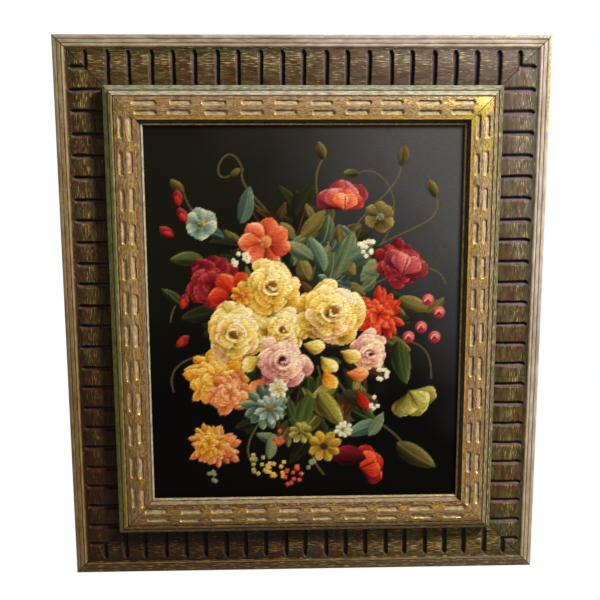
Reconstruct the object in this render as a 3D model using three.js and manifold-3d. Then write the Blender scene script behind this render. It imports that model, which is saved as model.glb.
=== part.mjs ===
// Framed oil painting: canvas on a stretcher, narrow slip, raised carved moulding, wide gouged outer frame.
// Millimetres, +Z up. The painted face looks along -Y and the frame's flat back lies on the plane y = 0.
// The origin is on the back of the top rail, at the middle of its length, where the frame is fixed to a wall.
import * as THREE from 'three';
import { mergeVertices } from 'three/addons/utils/BufferGeometryUtils.js';
import { ConvexGeometry } from 'three/addons/geometries/ConvexGeometry.js';
import Module from 'manifold-3d';

const wasm = await Module();
wasm.setup();

// Clearance between pieces that touch
const gap = 0.3;

// Canvas and stretcher, a 20 by 24 inch painting
const canvasWidth = 508;
const canvasHeight = 610;
const canvasThickness = 1;
const clothAllowance = 2;
const stretcherWidth = 38;
const stretcherThickness = 18;

// Zones of the frame's face, each as a width measured inwards
const rimWidth = 18;
const friezeWidth = 60;
const reedsWidth = 19;
const bandWidth = 34;
const slipShow = 7;
const slipCover = 6;
const seatWidth = 43;
const slipTuck = 4;

// Heights, built up from the back to the front
const rimHeight = 28;
const rimRound = 1.5;
const rimGrooveDepth = 1.2;
const rimGrooveHalf = 0.9;
const friezeOuterHeight = 24.5;
const friezeInnerHeight = 23.5;
const friezeCrown = 3;
const mouldingWall = 19.5;
const reedsRise = 16;
const reedGroove = 1.6;
const bandCrown = 3;
const lipThickness = 1.4;
const bandAboveLip = 1.4;
const slipThickness = 11;

// Cross gouges of the frieze
const gougePitch = 33.75;
const gougeCornerInset = 48.5;
const gougeRadius = 4.8;
const gougeDepth = 5;
const gougeStart = 6;
const gougeLift = 1.4;
const gougeRun = 1;

// Long hollows of the carved band, in two rows
const hollowPitch = 53.5;
const hollowCornerInset = 12.5;
const hollowLength = 34;
const hollowWidth = 7.6;
const hollowDepth = 2.6;
const hollowRows = [9.5, 23.8];

// Hand-cut unevenness along a row of cuts
const gougeWander = 0.9;
const hollowWander = 2.2;

// Ring hangers on the back of the side rails
const hangerDrop = 190;
const hangerInset = 60;
const strapWidth = 16;
const strapLength = 42;
const strapThickness = 2.4;
const ringWire = 3;
const ringInnerWidth = 20;
const ringInnerHeight = 14;

// Height of the frame's top edge above the fixing point
const fixingDrop = 50;

// Places of the zones' borders, measured inwards from the outer edge
const mouldingEdge = rimWidth + friezeWidth;
const bandEdge = mouldingEdge + reedsWidth;
const lipEdge = bandEdge + bandWidth;
const slipEdge = lipEdge + slipShow;
const railInner = mouldingEdge + seatWidth;
const canvasEdge = slipEdge - slipCover;
const slipOuter = lipEdge - slipTuck;

// Overall size, worked out from the painting outwards
const frameWidth = canvasWidth + 2 * canvasEdge;
const frameHeight = canvasHeight + 2 * canvasEdge;

// Heights worked out from the stack
const mouldingFoot = friezeInnerHeight + gap;
const mouldingTop = friezeInnerHeight + mouldingWall;
const bandHeight = mouldingTop + reedsRise;
const rabbetHeight = bandHeight - bandAboveLip;
const slipTop = rabbetHeight - gap;
const slipBack = slipTop - slipThickness;
const canvasFront = slipBack - gap;
const stretcherFront = canvasFront - canvasThickness - gap;

const colours = {
  frame: new THREE.Color('#4b4031'),
  moulding: new THREE.Color('#9c8a63'),
  slip: new THREE.Color('#b8a98a'),
  canvas: new THREE.Color('#1f1c18'),
  stretcher: new THREE.Color('#b48f5f'),
  hanger: new THREE.Color('#8d8d88'),
};

function material(colour, roughness, metalness = 0) {
  return new THREE.MeshStandardMaterial({ color: colour, roughness, metalness });
}

const materials = {
  frame: material(colours.frame, 0.7),
  moulding: material(colours.moulding, 0.55),
  slip: material(colours.slip, 0.65),
  canvas: material(colours.canvas, 0.35),
  stretcher: material(colours.stretcher, 0.75),
  hanger: material(colours.hanger, 0.35, 1),
};

// A closed solid from a geometry, with only its positions kept
function solidFrom(geometry) {
  const bare = geometry.clone();
  bare.deleteAttribute('normal');
  bare.deleteAttribute('uv');
  const merged = mergeVertices(bare, 1e-4);
  const vertProperties = new Float32Array(merged.attributes.position.array);
  const triVerts = new Uint32Array(merged.index.array);
  const solid = new wasm.Mesh({ numProp: 3, vertProperties, triVerts });
  return new wasm.Manifold(solid);
}

function geometryFrom(solid) {
  const mesh = solid.getMesh();
  const geometry = new THREE.BufferGeometry();
  geometry.setAttribute('position', new THREE.BufferAttribute(mesh.vertProperties, 3));
  geometry.setIndex(new THREE.BufferAttribute(mesh.triVerts, 1));
  geometry.computeVertexNormals();
  return geometry;
}

// Height of the frieze's gently cushioned face at a distance from the outer edge
function friezeHeight(inset) {
  const share = (inset - rimWidth) / friezeWidth;
  const chord = friezeOuterHeight + (friezeInnerHeight - friezeOuterHeight) * share;
  return chord + friezeCrown * (1 - (2 * share - 1) ** 2);
}

// Height of the carved band's face, a shallow arch between its two edges
function bandFaceHeight(inset) {
  const share = (inset - bandEdge) / bandWidth;
  return bandHeight + bandCrown * (1 - (2 * share - 1) ** 2);
}

// Points along a face between two insets, from its height function
function facePoints(heightAt, from, to, steps) {
  return Array.from({ length: steps + 1 }, (_, step) => {
    const inset = from + ((to - from) * step) / steps;
    return [inset, heightAt(inset)];
  });
}

function groovePoints(inset, height) {
  return [
    [inset - rimGrooveHalf, height],
    [inset, height - rimGrooveDepth],
    [inset + rimGrooveHalf, height],
  ];
}

// Section of the outer rail as points of inset and height, from the back of the outer edge
function railSection() {
  return [
    [0, 0],
    [0, rimHeight - rimRound],
    [rimRound, rimHeight],
    ...groovePoints(rimWidth * 0.36, rimHeight),
    ...groovePoints(rimWidth * 0.72, rimHeight),
    [rimWidth * 0.9, rimHeight],
    ...facePoints(friezeHeight, rimWidth, mouldingEdge, 4),
    [railInner, friezeInnerHeight],
    [railInner, 0],
  ];
}

// Section of the raised moulding: outer wall, two sloping reeds, carved band and a lip over the slip
function mouldingSection() {
  const reedOne = mouldingEdge + reedsWidth * 0.46;
  const reedTwo = mouldingEdge + reedsWidth * 0.93;
  const reedHigh = (inset) => mouldingTop + (reedsRise * (inset - mouldingEdge)) / reedsWidth;
  const reed = (from, to) => [
    [from, reedHigh(from) + reedGroove * 0.4],
    [from + (to - from) * 0.35, reedHigh(from + (to - from) * 0.35) + reedGroove * 1.2],
    [from + (to - from) * 0.8, reedHigh(from + (to - from) * 0.8) + reedGroove * 0.7],
  ];
  return [
    [mouldingEdge, mouldingFoot],
    ...reed(mouldingEdge, reedOne),
    [reedOne, reedHigh(reedOne) - reedGroove],
    ...reed(reedOne + 0.5, reedTwo),
    [reedTwo, reedHigh(reedTwo) - reedGroove],
    ...facePoints(bandFaceHeight, bandEdge, lipEdge - slipTuck, 4),
    [lipEdge, rabbetHeight + lipThickness],
    [lipEdge, rabbetHeight],
    [slipOuter - gap, rabbetHeight],
    [slipOuter - gap, mouldingFoot],
  ];
}

// Section of the slip: steep cove, fine groove and inner fillet over the canvas
function slipSection() {
  const grooveInset = slipEdge - slipShow * 0.45;
  const filletHeight = slipBack + slipThickness * 0.4;
  return [
    [slipOuter, slipBack],
    [slipOuter, slipTop],
    [lipEdge + 0.2, slipTop],
    [lipEdge + slipShow * 0.22, slipBack + slipThickness * 0.62],
    [grooveInset - 0.6, filletHeight],
    [grooveInset, filletHeight - 0.9],
    [grooveInset + 0.7, filletHeight],
    [slipEdge - 0.4, filletHeight - 0.4],
    [slipEdge, filletHeight - 1.2],
    [slipEdge, slipBack],
  ];
}

// Section of a stretcher bar, with a bevel that keeps its inner edge off the canvas
function stretcherSection() {
  const outer = canvasEdge + clothAllowance;
  const back = stretcherFront - stretcherThickness;
  return [
    [outer, back],
    [outer, stretcherFront],
    [outer + stretcherWidth * 0.3, stretcherFront],
    [outer + stretcherWidth, stretcherFront - stretcherThickness * 0.2],
    [outer + stretcherWidth, back],
  ];
}

// A bar of the given section with mitred ends, for the top of a frame whose outer edge has the given length.
// It lies along X, with its outer edge at z = 0 and its section running down to lower z.
function mitredBar(section, outerLength) {
  const shape = new THREE.Shape(section.map(([inset, height]) => new THREE.Vector2(inset, height)));
  const bar = new THREE.ExtrudeGeometry(shape, { depth: 1, bevelEnabled: false });
  const position = bar.attributes.position;
  const endGap = gap * Math.SQRT1_2;
  for (let i = 0; i < position.count; i += 1) {
    const inset = position.getX(i);
    const height = position.getY(i);
    const end = position.getZ(i) > 0.5 ? -1 : 1;
    position.setXYZ(i, end * (outerLength / 2 - inset - endGap), -height, -inset);
  }
  return bar;
}

// Centres of a row of cuts along a rail, evenly spaced between its two corner cuts
function cutCentres(outerLength, cornerInset, pitch, wander, phase) {
  const span = outerLength - 2 * cornerInset;
  const intervals = Math.max(1, Math.round(span / pitch));
  return Array.from({ length: intervals + 1 }, (_, index) => {
    const drift = wander * Math.sin(2.4 * index + phase);
    return -span / 2 + (span * index) / intervals + drift;
  });
}

// A half-round gouge cut that crosses the frieze, closed and rounded at the rim and running out at the moulding
function gougeCutter(centre) {
  const bottom = friezeOuterHeight + friezeCrown - gougeDepth;
  const start = rimWidth + gougeStart;
  const end = mouldingEdge + gougeRun;
  const above = rimHeight + gougeRadius;
  const points = [];
  const ring = (inset, share, lift) => {
    const radius = gougeRadius * share;
    const axis = bottom + lift + gougeRadius;
    for (let step = 0; step <= 4; step += 1) {
      const angle = (Math.PI * step) / 4;
      const side = radius * Math.cos(angle);
      points.push(new THREE.Vector3(centre + side, -(axis - radius * Math.sin(angle)), -inset));
    }
    points.push(new THREE.Vector3(centre - radius, -above, -inset));
    points.push(new THREE.Vector3(centre + radius, -above, -inset));
  };
  ring(start, 0.5, 0);
  ring(start + gougeRadius * 0.45, 0.86, 0);
  ring(start + gougeRadius, 1, 0);
  ring(end, 1, gougeLift);
  return solidFrom(new ConvexGeometry(points));
}

// A long hollow of the carved band: rounded ends, sloping sides and a narrow floor, set square to the face
function hollowCutter(centre, row, length) {
  const inset = bandEdge + row;
  const slope = Math.atan((bandFaceHeight(inset + 1) - bandFaceHeight(inset - 1)) / 2);
  const across = new THREE.Vector3(0, -Math.sin(slope), -Math.cos(slope));
  const outward = new THREE.Vector3(0, -Math.cos(slope), Math.sin(slope));
  const middle = new THREE.Vector3(centre, -bandFaceHeight(inset), -inset);
  const points = [];
  const outline = (half, halfWidth, chamfer, level) => {
    for (const [along, side] of [[half, halfWidth - chamfer], [half - chamfer, halfWidth]]) {
      for (const [signAlong, signSide] of [[1, 1], [1, -1], [-1, 1], [-1, -1]]) {
        const point = middle.clone().addScaledVector(across, side * signSide);
        point.addScaledVector(outward, level);
        point.x += along * signAlong;
        points.push(point);
      }
    }
  };
  const half = length / 2;
  const halfWidth = hollowWidth / 2;
  outline(half, halfWidth, halfWidth * 0.55, bandCrown);
  outline(half, halfWidth, halfWidth * 0.55, 0);
  outline(half - hollowDepth * 0.8, halfWidth * 0.5, halfWidth * 0.3, -hollowDepth);
  return solidFrom(new ConvexGeometry(points));
}

function outerRail(outerLength, phase) {
  let rail = solidFrom(mitredBar(railSection(), outerLength));
  for (const centre of cutCentres(outerLength, gougeCornerInset, gougePitch, gougeWander, phase)) {
    rail = rail.subtract(gougeCutter(centre));
  }
  return geometryFrom(rail);
}

function carvedMoulding(outerLength, phase) {
  let moulding = solidFrom(mitredBar(mouldingSection(), outerLength));
  hollowRows.forEach((row, index) => {
    const rowPhase = phase + 1.7 * index;
    const centres = cutCentres(outerLength, lipEdge + hollowCornerInset, hollowPitch, hollowWander, rowPhase);
    centres.forEach((centre, place) => {
      const length = hollowLength + hollowWander * Math.cos(3.1 * place + rowPhase);
      moulding = moulding.subtract(hollowCutter(centre, row, length));
    });
  });
  return geometryFrom(moulding);
}

const part = new THREE.Group();
const frameCentre = new THREE.Group();
frameCentre.position.z = fixingDrop - frameHeight / 2;
part.add(frameCentre);

function addPiece(parent, name, geometry, finish) {
  const mesh = new THREE.Mesh(geometry, finish);
  mesh.name = name;
  parent.add(mesh);
  return mesh;
}

// The four sides of the frame, each turned about the middle of the painting
const sides = [
  { name: 'top', turn: 0, length: frameWidth, reach: frameHeight / 2, phase: 0 },
  { name: 'left', turn: -Math.PI / 2, length: frameHeight, reach: frameWidth / 2, phase: 1.3 },
  { name: 'bottom', turn: Math.PI, length: frameWidth, reach: frameHeight / 2, phase: 2.6 },
  { name: 'right', turn: Math.PI / 2, length: frameHeight, reach: frameWidth / 2, phase: 3.9 },
];

for (const { name, turn, length, reach, phase } of sides) {
  const sideTurn = new THREE.Group();
  sideTurn.rotation.y = turn;
  frameCentre.add(sideTurn);
  const sidePlace = new THREE.Group();
  sidePlace.position.z = reach;
  sideTurn.add(sidePlace);
  addPiece(sidePlace, `outer_rail_${name}`, outerRail(length, phase), materials.frame);
  addPiece(sidePlace, `carved_moulding_${name}`, carvedMoulding(length, phase), materials.moulding);
  addPiece(sidePlace, `slip_${name}`, mitredBar(slipSection(), length), materials.slip);
  addPiece(sidePlace, `stretcher_${name}`, mitredBar(stretcherSection(), length), materials.stretcher);
}

const cloth = new THREE.BoxGeometry(canvasWidth, canvasThickness, canvasHeight);
const canvas = addPiece(frameCentre, 'canvas', cloth, materials.canvas);
canvas.position.y = -(canvasFront - canvasThickness / 2);

// A ring hanger as one solid: a doubled steel strap with its knuckle wrapped round a D-shaped ring
function hangerGeometry() {
  const knuckle = ringWire / 2 + strapThickness / 2;
  const outlineOf = (halfWidth, height, base) => [
    [-halfWidth, base],
    [halfWidth, base],
    [halfWidth, base + height * 0.45],
    [halfWidth * 0.55, base + height],
    [-halfWidth * 0.55, base + height],
    [-halfWidth, base + height * 0.45],
  ].map(([x, z]) => new THREE.Vector2(x, z));
  const ringShape = new THREE.Shape(
    outlineOf(ringInnerWidth / 2 + ringWire, ringInnerHeight + 2 * ringWire, -ringWire / 2),
  );
  ringShape.holes.push(
    new THREE.Path(outlineOf(ringInnerWidth / 2, ringInnerHeight, ringWire / 2).reverse()),
  );
  const ring = new THREE.ExtrudeGeometry(ringShape, { depth: ringWire, bevelEnabled: false });
  ring.rotateX(Math.PI / 2);
  ring.translate(0, ringWire + gap, 0);
  const strap = new THREE.BoxGeometry(strapWidth, strapThickness, strapLength);
  strap.translate(0, gap + strapThickness / 2, -strapLength / 2);
  const barrel = new THREE.CylinderGeometry(knuckle, knuckle, strapWidth, 10);
  barrel.rotateZ(Math.PI / 2);
  barrel.translate(0, gap + knuckle, 0);
  const joined = solidFrom(strap).add(solidFrom(barrel)).add(solidFrom(ring));
  return geometryFrom(joined);
}

for (const [name, side] of [['left', -1], ['right', 1]]) {
  const hanger = addPiece(frameCentre, `hanger_${name}`, hangerGeometry(), materials.hanger);
  hanger.position.x = side * (frameWidth / 2 - hangerInset);
  hanger.position.z = frameHeight / 2 - hangerDrop;
}

export default part;
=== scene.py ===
"""Framed oil painting in a hand-carved wooden frame, laid out as a Blender add-on and run as a script."""
import math

import bpy
import numpy as np
from bpy.props import FloatProperty, FloatVectorProperty, IntProperty, PointerProperty
from mathutils import Matrix, Vector


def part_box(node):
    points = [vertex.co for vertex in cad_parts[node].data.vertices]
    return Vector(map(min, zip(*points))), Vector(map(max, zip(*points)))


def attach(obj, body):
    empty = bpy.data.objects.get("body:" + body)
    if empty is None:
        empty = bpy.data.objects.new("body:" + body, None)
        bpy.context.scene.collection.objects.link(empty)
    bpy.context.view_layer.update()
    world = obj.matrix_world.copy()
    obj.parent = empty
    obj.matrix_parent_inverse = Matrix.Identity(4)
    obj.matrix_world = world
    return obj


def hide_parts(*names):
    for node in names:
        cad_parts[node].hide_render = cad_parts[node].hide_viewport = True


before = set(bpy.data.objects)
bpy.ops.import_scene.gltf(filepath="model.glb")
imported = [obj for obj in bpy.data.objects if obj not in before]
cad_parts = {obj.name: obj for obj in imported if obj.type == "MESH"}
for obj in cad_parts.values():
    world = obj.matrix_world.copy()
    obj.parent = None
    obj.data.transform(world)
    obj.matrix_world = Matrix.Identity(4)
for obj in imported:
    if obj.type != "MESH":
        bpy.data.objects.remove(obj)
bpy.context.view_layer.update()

bl_info = {
    "name": "Framed oil painting",
    "version": (1, 0, 0),
    "blender": (4, 5, 0),
    "location": "View3D > Sidebar > Painting",
    "description": "Builds a framed flower painting and its carved frame around the packed model",
    "category": "Object",
}

MM = 0.001

# Places and depths in millimetres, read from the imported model's boxes


def edge(node_name, which, axis):
    """One edge of a node's box in millimetres, the lowest for which = 0 and the highest for which = 1."""
    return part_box(node_name)[which][axis] / MM


FRAME_TOP = edge("outer_rail_top", 1, 2)
FRAME_BOTTOM = edge("outer_rail_bottom", 0, 2)
HALF_WIDTH = edge("outer_rail_right", 1, 0)
HALF_HEIGHT = (FRAME_TOP - FRAME_BOTTOM) / 2
CENTRE_Z = (FRAME_TOP + FRAME_BOTTOM) / 2
RAIL_INNER = FRAME_TOP - edge("outer_rail_top", 0, 2)
MOULDING_EDGE = FRAME_TOP - edge("carved_moulding_top", 1, 2)
LIP_EDGE = FRAME_TOP - edge("carved_moulding_top", 0, 2)
SLIP_OUTER = FRAME_TOP - edge("slip_top", 1, 2)
SLIP_EDGE = FRAME_TOP - edge("slip_top", 0, 2)
MOULDING_FOOT = -edge("carved_moulding_top", 1, 1)
SLIP_BACK = -edge("slip_top", 1, 1)
SLIP_TOP = -edge("slip_top", 0, 1)
CANVAS_FRONT = -edge("canvas", 0, 1)
CANVAS_HALF_WIDTH = edge("canvas", 1, 0)
CANVAS_HALF_HEIGHT = (edge("canvas", 1, 2) - edge("canvas", 0, 2)) / 2
STRETCHER_BACK = -edge("stretcher_top", 1, 1)
STRETCHER_INNER = FRAME_TOP - edge("stretcher_top", 0, 2)

# Sizes of the sections that the boxes don't give, in millimetres
GAP = 0.3
RIM_WIDTH = 18.0
RIM_HEIGHT = 28.0
RIM_ROUND = 1.5
RIM_GROOVES = (6.48, 12.96)
RIM_GROOVE_HALF = 0.9
RIM_GROOVE_DEPTH = 1.2
RIM_BEVEL = 16.2
RIM_GOLD_EDGE = 3.6
RIM_GOLD_LINE = 16.0
RIM_RED_LINE = 17.7
FRIEZE_WIDTH = MOULDING_EDGE - RIM_WIDTH
FRIEZE_OUTER_HEIGHT = 24.5
FRIEZE_INNER_HEIGHT = MOULDING_FOOT - GAP
FRIEZE_CROWN = 3.0
FILLET_HEIGHT = (RIM_HEIGHT - FRIEZE_OUTER_HEIGHT) * 0.6
FILLET_WIDTH = 2.2
REEDS_WIDTH = 19.0
REEDS_RISE = 16.0
REED_GROOVES = (8.9, 17.8)
REED_GROOVE_DEPTH = 1.6
MOULDING_TOP = FRIEZE_INNER_HEIGHT + 19.5
BAND_EDGE = MOULDING_EDGE + REEDS_WIDTH
BAND_WIDTH = LIP_EDGE - BAND_EDGE
BAND_HEIGHT = MOULDING_TOP + REEDS_RISE
BAND_CROWN = 3.0
RABBET_HEIGHT = SLIP_TOP + GAP
LIP_HEIGHT = RABBET_HEIGHT + 1.4
LIP_START = LIP_EDGE - 4.0

# The carver's cuts, in millimetres
GOUGE_PITCH = 33.75
GOUGE_CORNER_INSET = 48.5
GOUGE_RADIUS = 4.4
GOUGE_DEPTH = 5.0
GOUGE_START = RIM_WIDTH + 4.2
GOUGE_TIP = 8.0
GOUGE_END = MOULDING_EDGE + 1.0
GOUGE_LIFT = 1.4
GOUGE_WANDER = 0.9
HOLLOW_PITCH = 53.5
HOLLOW_CORNER_INSET = LIP_EDGE + 12.5
HOLLOW_LENGTH = 36.0
HOLLOW_WIDTH = 8.4
HOLLOW_DEPTH = 2.9
HOLLOW_ROWS = (9.5, 23.8)
HOLLOW_WANDER = 2.2
CLAY_LINES = (100.2, 113.8, 126.4)
RUBBED_LINES = (98.8, 116.0, 123.0)

# The canvas: its gap to the stretcher's box, its side and thickness, and the part painted on a fine net
CANVAS_EDGE_GAP = 0.8
CANVAS_SIDE = 20.0
CLOTH = 0.5
FINE_HALF_WIDTH = 228.0
FINE_HALF_HEIGHT = 282.0
COARSE_NET = 3.2
TURNED_BACK = STRETCHER_BACK - 1.0

# Insets of the mesh's rows across each profile, closer together where it turns
RIM_ROWS = (
    0, 0.45, 1.5, 3.5, 5.3, 6.0, 6.48, 6.96, 7.6, 10.2, 11.8, 12.5, 12.96, 13.42, 14.1, 15.4, 16.2, 17.1,
)
FRIEZE_ROWS = (
    18, 18.8, 20, 22, 23.2, 24, 24.6, 25.4, 26.4, 27.6, 29, 31, *np.linspace(33, 78, 24), 79.4,
)
REED_ROWS = (
    78, 78.35, 79, 80, 81.4, 83, 84.6, 85.8, 86.5, 86.9, 87.3, 88, 89, 90.4, 92, 93.6, 94.8, 95.4, 95.8,
    96.3,
)
BAND_ROWS = (
    97, 98, 99.3, 100.6, 101.6, 102.4, 103.2, 104, 104.9, 105.9, 106.9, 107.9, 108.8, 109.6, 110.4, 111.4,
    112.6, 113.9, 115.1, 116, 116.8, 117.6, 118.4, 119.3, 120.3, 121.3, 122.3, 123.1, 123.9, 124.7, 125.7,
    127, 128.4, 129.8, 130.6,
)

# A pale chip in the frieze, to the right and up from the middle of the frame
CHIP_PLACE = (338, 389)

# A depth or gap too great to matter, in millimetres
FAR = 99.0

# Period of the wave texture at a scale of one
WAVE_PERIOD = 0.31416

# The four sides: direction along the rail, direction outwards, half length, reach, and phase of the cuts
SIDES = {
    "top": ((1, 0), (0, 1), HALF_WIDTH, HALF_HEIGHT, 0.0),
    "left": ((0, 1), (-1, 0), HALF_HEIGHT, HALF_WIDTH, 1.3),
    "bottom": ((-1, 0), (0, -1), HALF_WIDTH, HALF_HEIGHT, 2.6),
    "right": ((0, -1), (1, 0), HALF_HEIGHT, HALF_WIDTH, 3.9),
}

# Where the light comes from in the picture's plane, to the right and up
LIGHT_SIDE = (0.62, 0.78)

# How much red, green and blue each paint keeps under painted shade across the frame, at four places from the
# upper right to the lower left
SHADE_PLACES = (-0.65, -0.27, 0.28, 0.62)
FRIEZE_SHADE = ((1.03, 0.93, 1.15, 0.55), (1.05, 0.92, 1.0, 0.3), (1.2, 0.8, 0.6, 0.14))
RIM_SHADE = ((0.85, 0.86, 0.8, 0.64), (0.88, 0.87, 0.75, 0.53), (1.04, 0.92, 0.56, 0.33))
REEDS_SHADE = ((1.0, 1.0, 1.0, 0.88), (1.0, 1.0, 1.0, 0.76), (1.0, 1.0, 0.92, 0.48))
BAND_SHADE = ((0.8, 0.76, 0.8, 0.62), (0.84, 0.7, 0.72, 0.5), (0.95, 0.64, 0.52, 0.3))
# The bottom side's reeds take a further painted shade, darker and yellower
LOW_REED_SHADE = np.array([1.05, 0.84, 0.34])

# Colour and small sums


def linear(colour):
    """An sRGB hex colour as linear red, green and blue."""
    parts = np.array([int(colour[place:place + 2], 16) / 255 for place in (1, 3, 5)])
    return np.where(parts <= 0.04045, parts / 12.92, ((parts + 0.055) / 1.055) ** 2.4)


def rgba(colour):
    """An sRGB hex colour as linear red, green, blue and full alpha."""
    return (*linear(colour), 1.0)


def by_side(side, *choices):
    """The choice for a side, from four in the order top, left, bottom, right."""
    return choices[list(SIDES).index(side)]


def smooth(low, high, value):
    """A soft step from 0 at low to 1 at high, or down where low is the greater."""
    share = np.clip((value - low) / (high - low), 0, 1)
    return share * share * (3 - 2 * share)


def stripe(place, centre, width):
    """How much a soft stripe about a centre covers each place, from 0 to 1."""
    return np.exp(-((place - centre) / width) ** 2)


def mixed(first, second, share):
    """Two colours mixed by a share for each point."""
    share = np.asarray(share)[..., None]
    return first * (1 - share) + second * share


def coated(base, *coats):
    """A base colour under coats laid in order, each a colour and the share of it that covers."""
    for colour, share in coats:
        base = mixed(base, linear(colour) if isinstance(colour, str) else np.array(colour), share)
    return base


def noise(x, y, seed, octaves=2):
    """Smooth value noise from 0 to 1, one unit to a cell."""
    total = np.zeros(np.broadcast(x, y).shape)
    weight = 0.0
    for octave in range(octaves):
        scale = 2.0 ** octave
        share = 0.5 ** octave
        across = np.asarray(x) * scale
        up = np.asarray(y) * scale
        cell_x = np.floor(across)
        cell_y = np.floor(up)
        near = smooth(0, 1, across - cell_x)
        high = smooth(0, 1, up - cell_y)
        corners = []
        for step_x, step_y in ((0, 0), (1, 0), (0, 1), (1, 1)):
            value = np.sin((cell_x + step_x) * 127.1 + (cell_y + step_y) * 311.7 + seed * 74.7) * 43758.5453
            corners.append(value - np.floor(value))
        lower = corners[0] * (1 - near) + corners[1] * near
        upper = corners[2] * (1 - near) + corners[3] * near
        total += share * (lower * (1 - high) + upper * high)
        weight += share
    return total / weight


# Materials

# Settings of a mix node that multiplies two colours
MULTIPLIED = {"data_type": "RGBA", "blend_type": "MULTIPLY"}


def node(tree, kind, inputs=None, stops=(), **settings):
    """Adds a node with its settings, its inputs as values or links, and the stops of a colour ramp."""
    made = tree.nodes.new(kind)
    for name, value in settings.items():
        setattr(made, name, value)
    for name, value in (inputs or {}).items():
        if isinstance(value, bpy.types.NodeSocket):
            tree.links.new(value, made.inputs[name])
        else:
            made.inputs[name].default_value = value
    for place, (position, colour) in enumerate(stops):
        elements = made.color_ramp.elements
        element = elements[place] if place < len(elements) else elements.new(position)
        element.position = position
        element.color = rgba(colour)
    return made


def start_material(name):
    """A new material and its empty node tree."""
    material = bpy.data.materials.new(name)
    material.use_nodes = True
    material.node_tree.nodes.clear()
    return material, material.node_tree


def finish_material(tree, inputs):
    """Ends a material's tree with its shader and output."""
    shader = node(tree, "ShaderNodeBsdfPrincipled", inputs)
    node(tree, "ShaderNodeOutputMaterial", {"Surface": shader.outputs["BSDF"]})


def grain_pattern(tree, vector, along, across, detail=3.0):
    """Noise drawn out along the grain, from its real sizes in millimetres."""
    scale = (1 / (along * MM), 1 / (across * MM), 1 / (across * MM))
    placed = node(tree, "ShaderNodeMapping", {"Vector": vector, "Scale": scale})
    pattern = node(
        tree, "ShaderNodeTexNoise", {"Vector": placed.outputs["Vector"], "Scale": 1.0, "Detail": detail}
    )
    return pattern.outputs["Fac"]


def rubbed_mask(tree, pattern, amount, low, high, most=1.0):
    """From 0 to most, where a pattern and a painted amount together rise from low to high."""
    total = node(tree, "ShaderNodeMath", {0: pattern, 1: amount}, operation="ADD", use_clamp=True)
    limits = {"Value": total.outputs["Value"], "From Min": low, "From Max": high, "To Max": most}
    return node(tree, "ShaderNodeMapRange", limits).outputs["Result"]


def under_painted_shade(tree, colour):
    """A colour toned by the painted shade stored at each point."""
    painted_shade = node(tree, "ShaderNodeAttribute", attribute_name="painted_shade").outputs["Color"]
    inputs = {0: 1.0, 6: colour, 7: painted_shade}
    return node(tree, "ShaderNodeMix", inputs, **MULTIPLIED).outputs[2]


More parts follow.
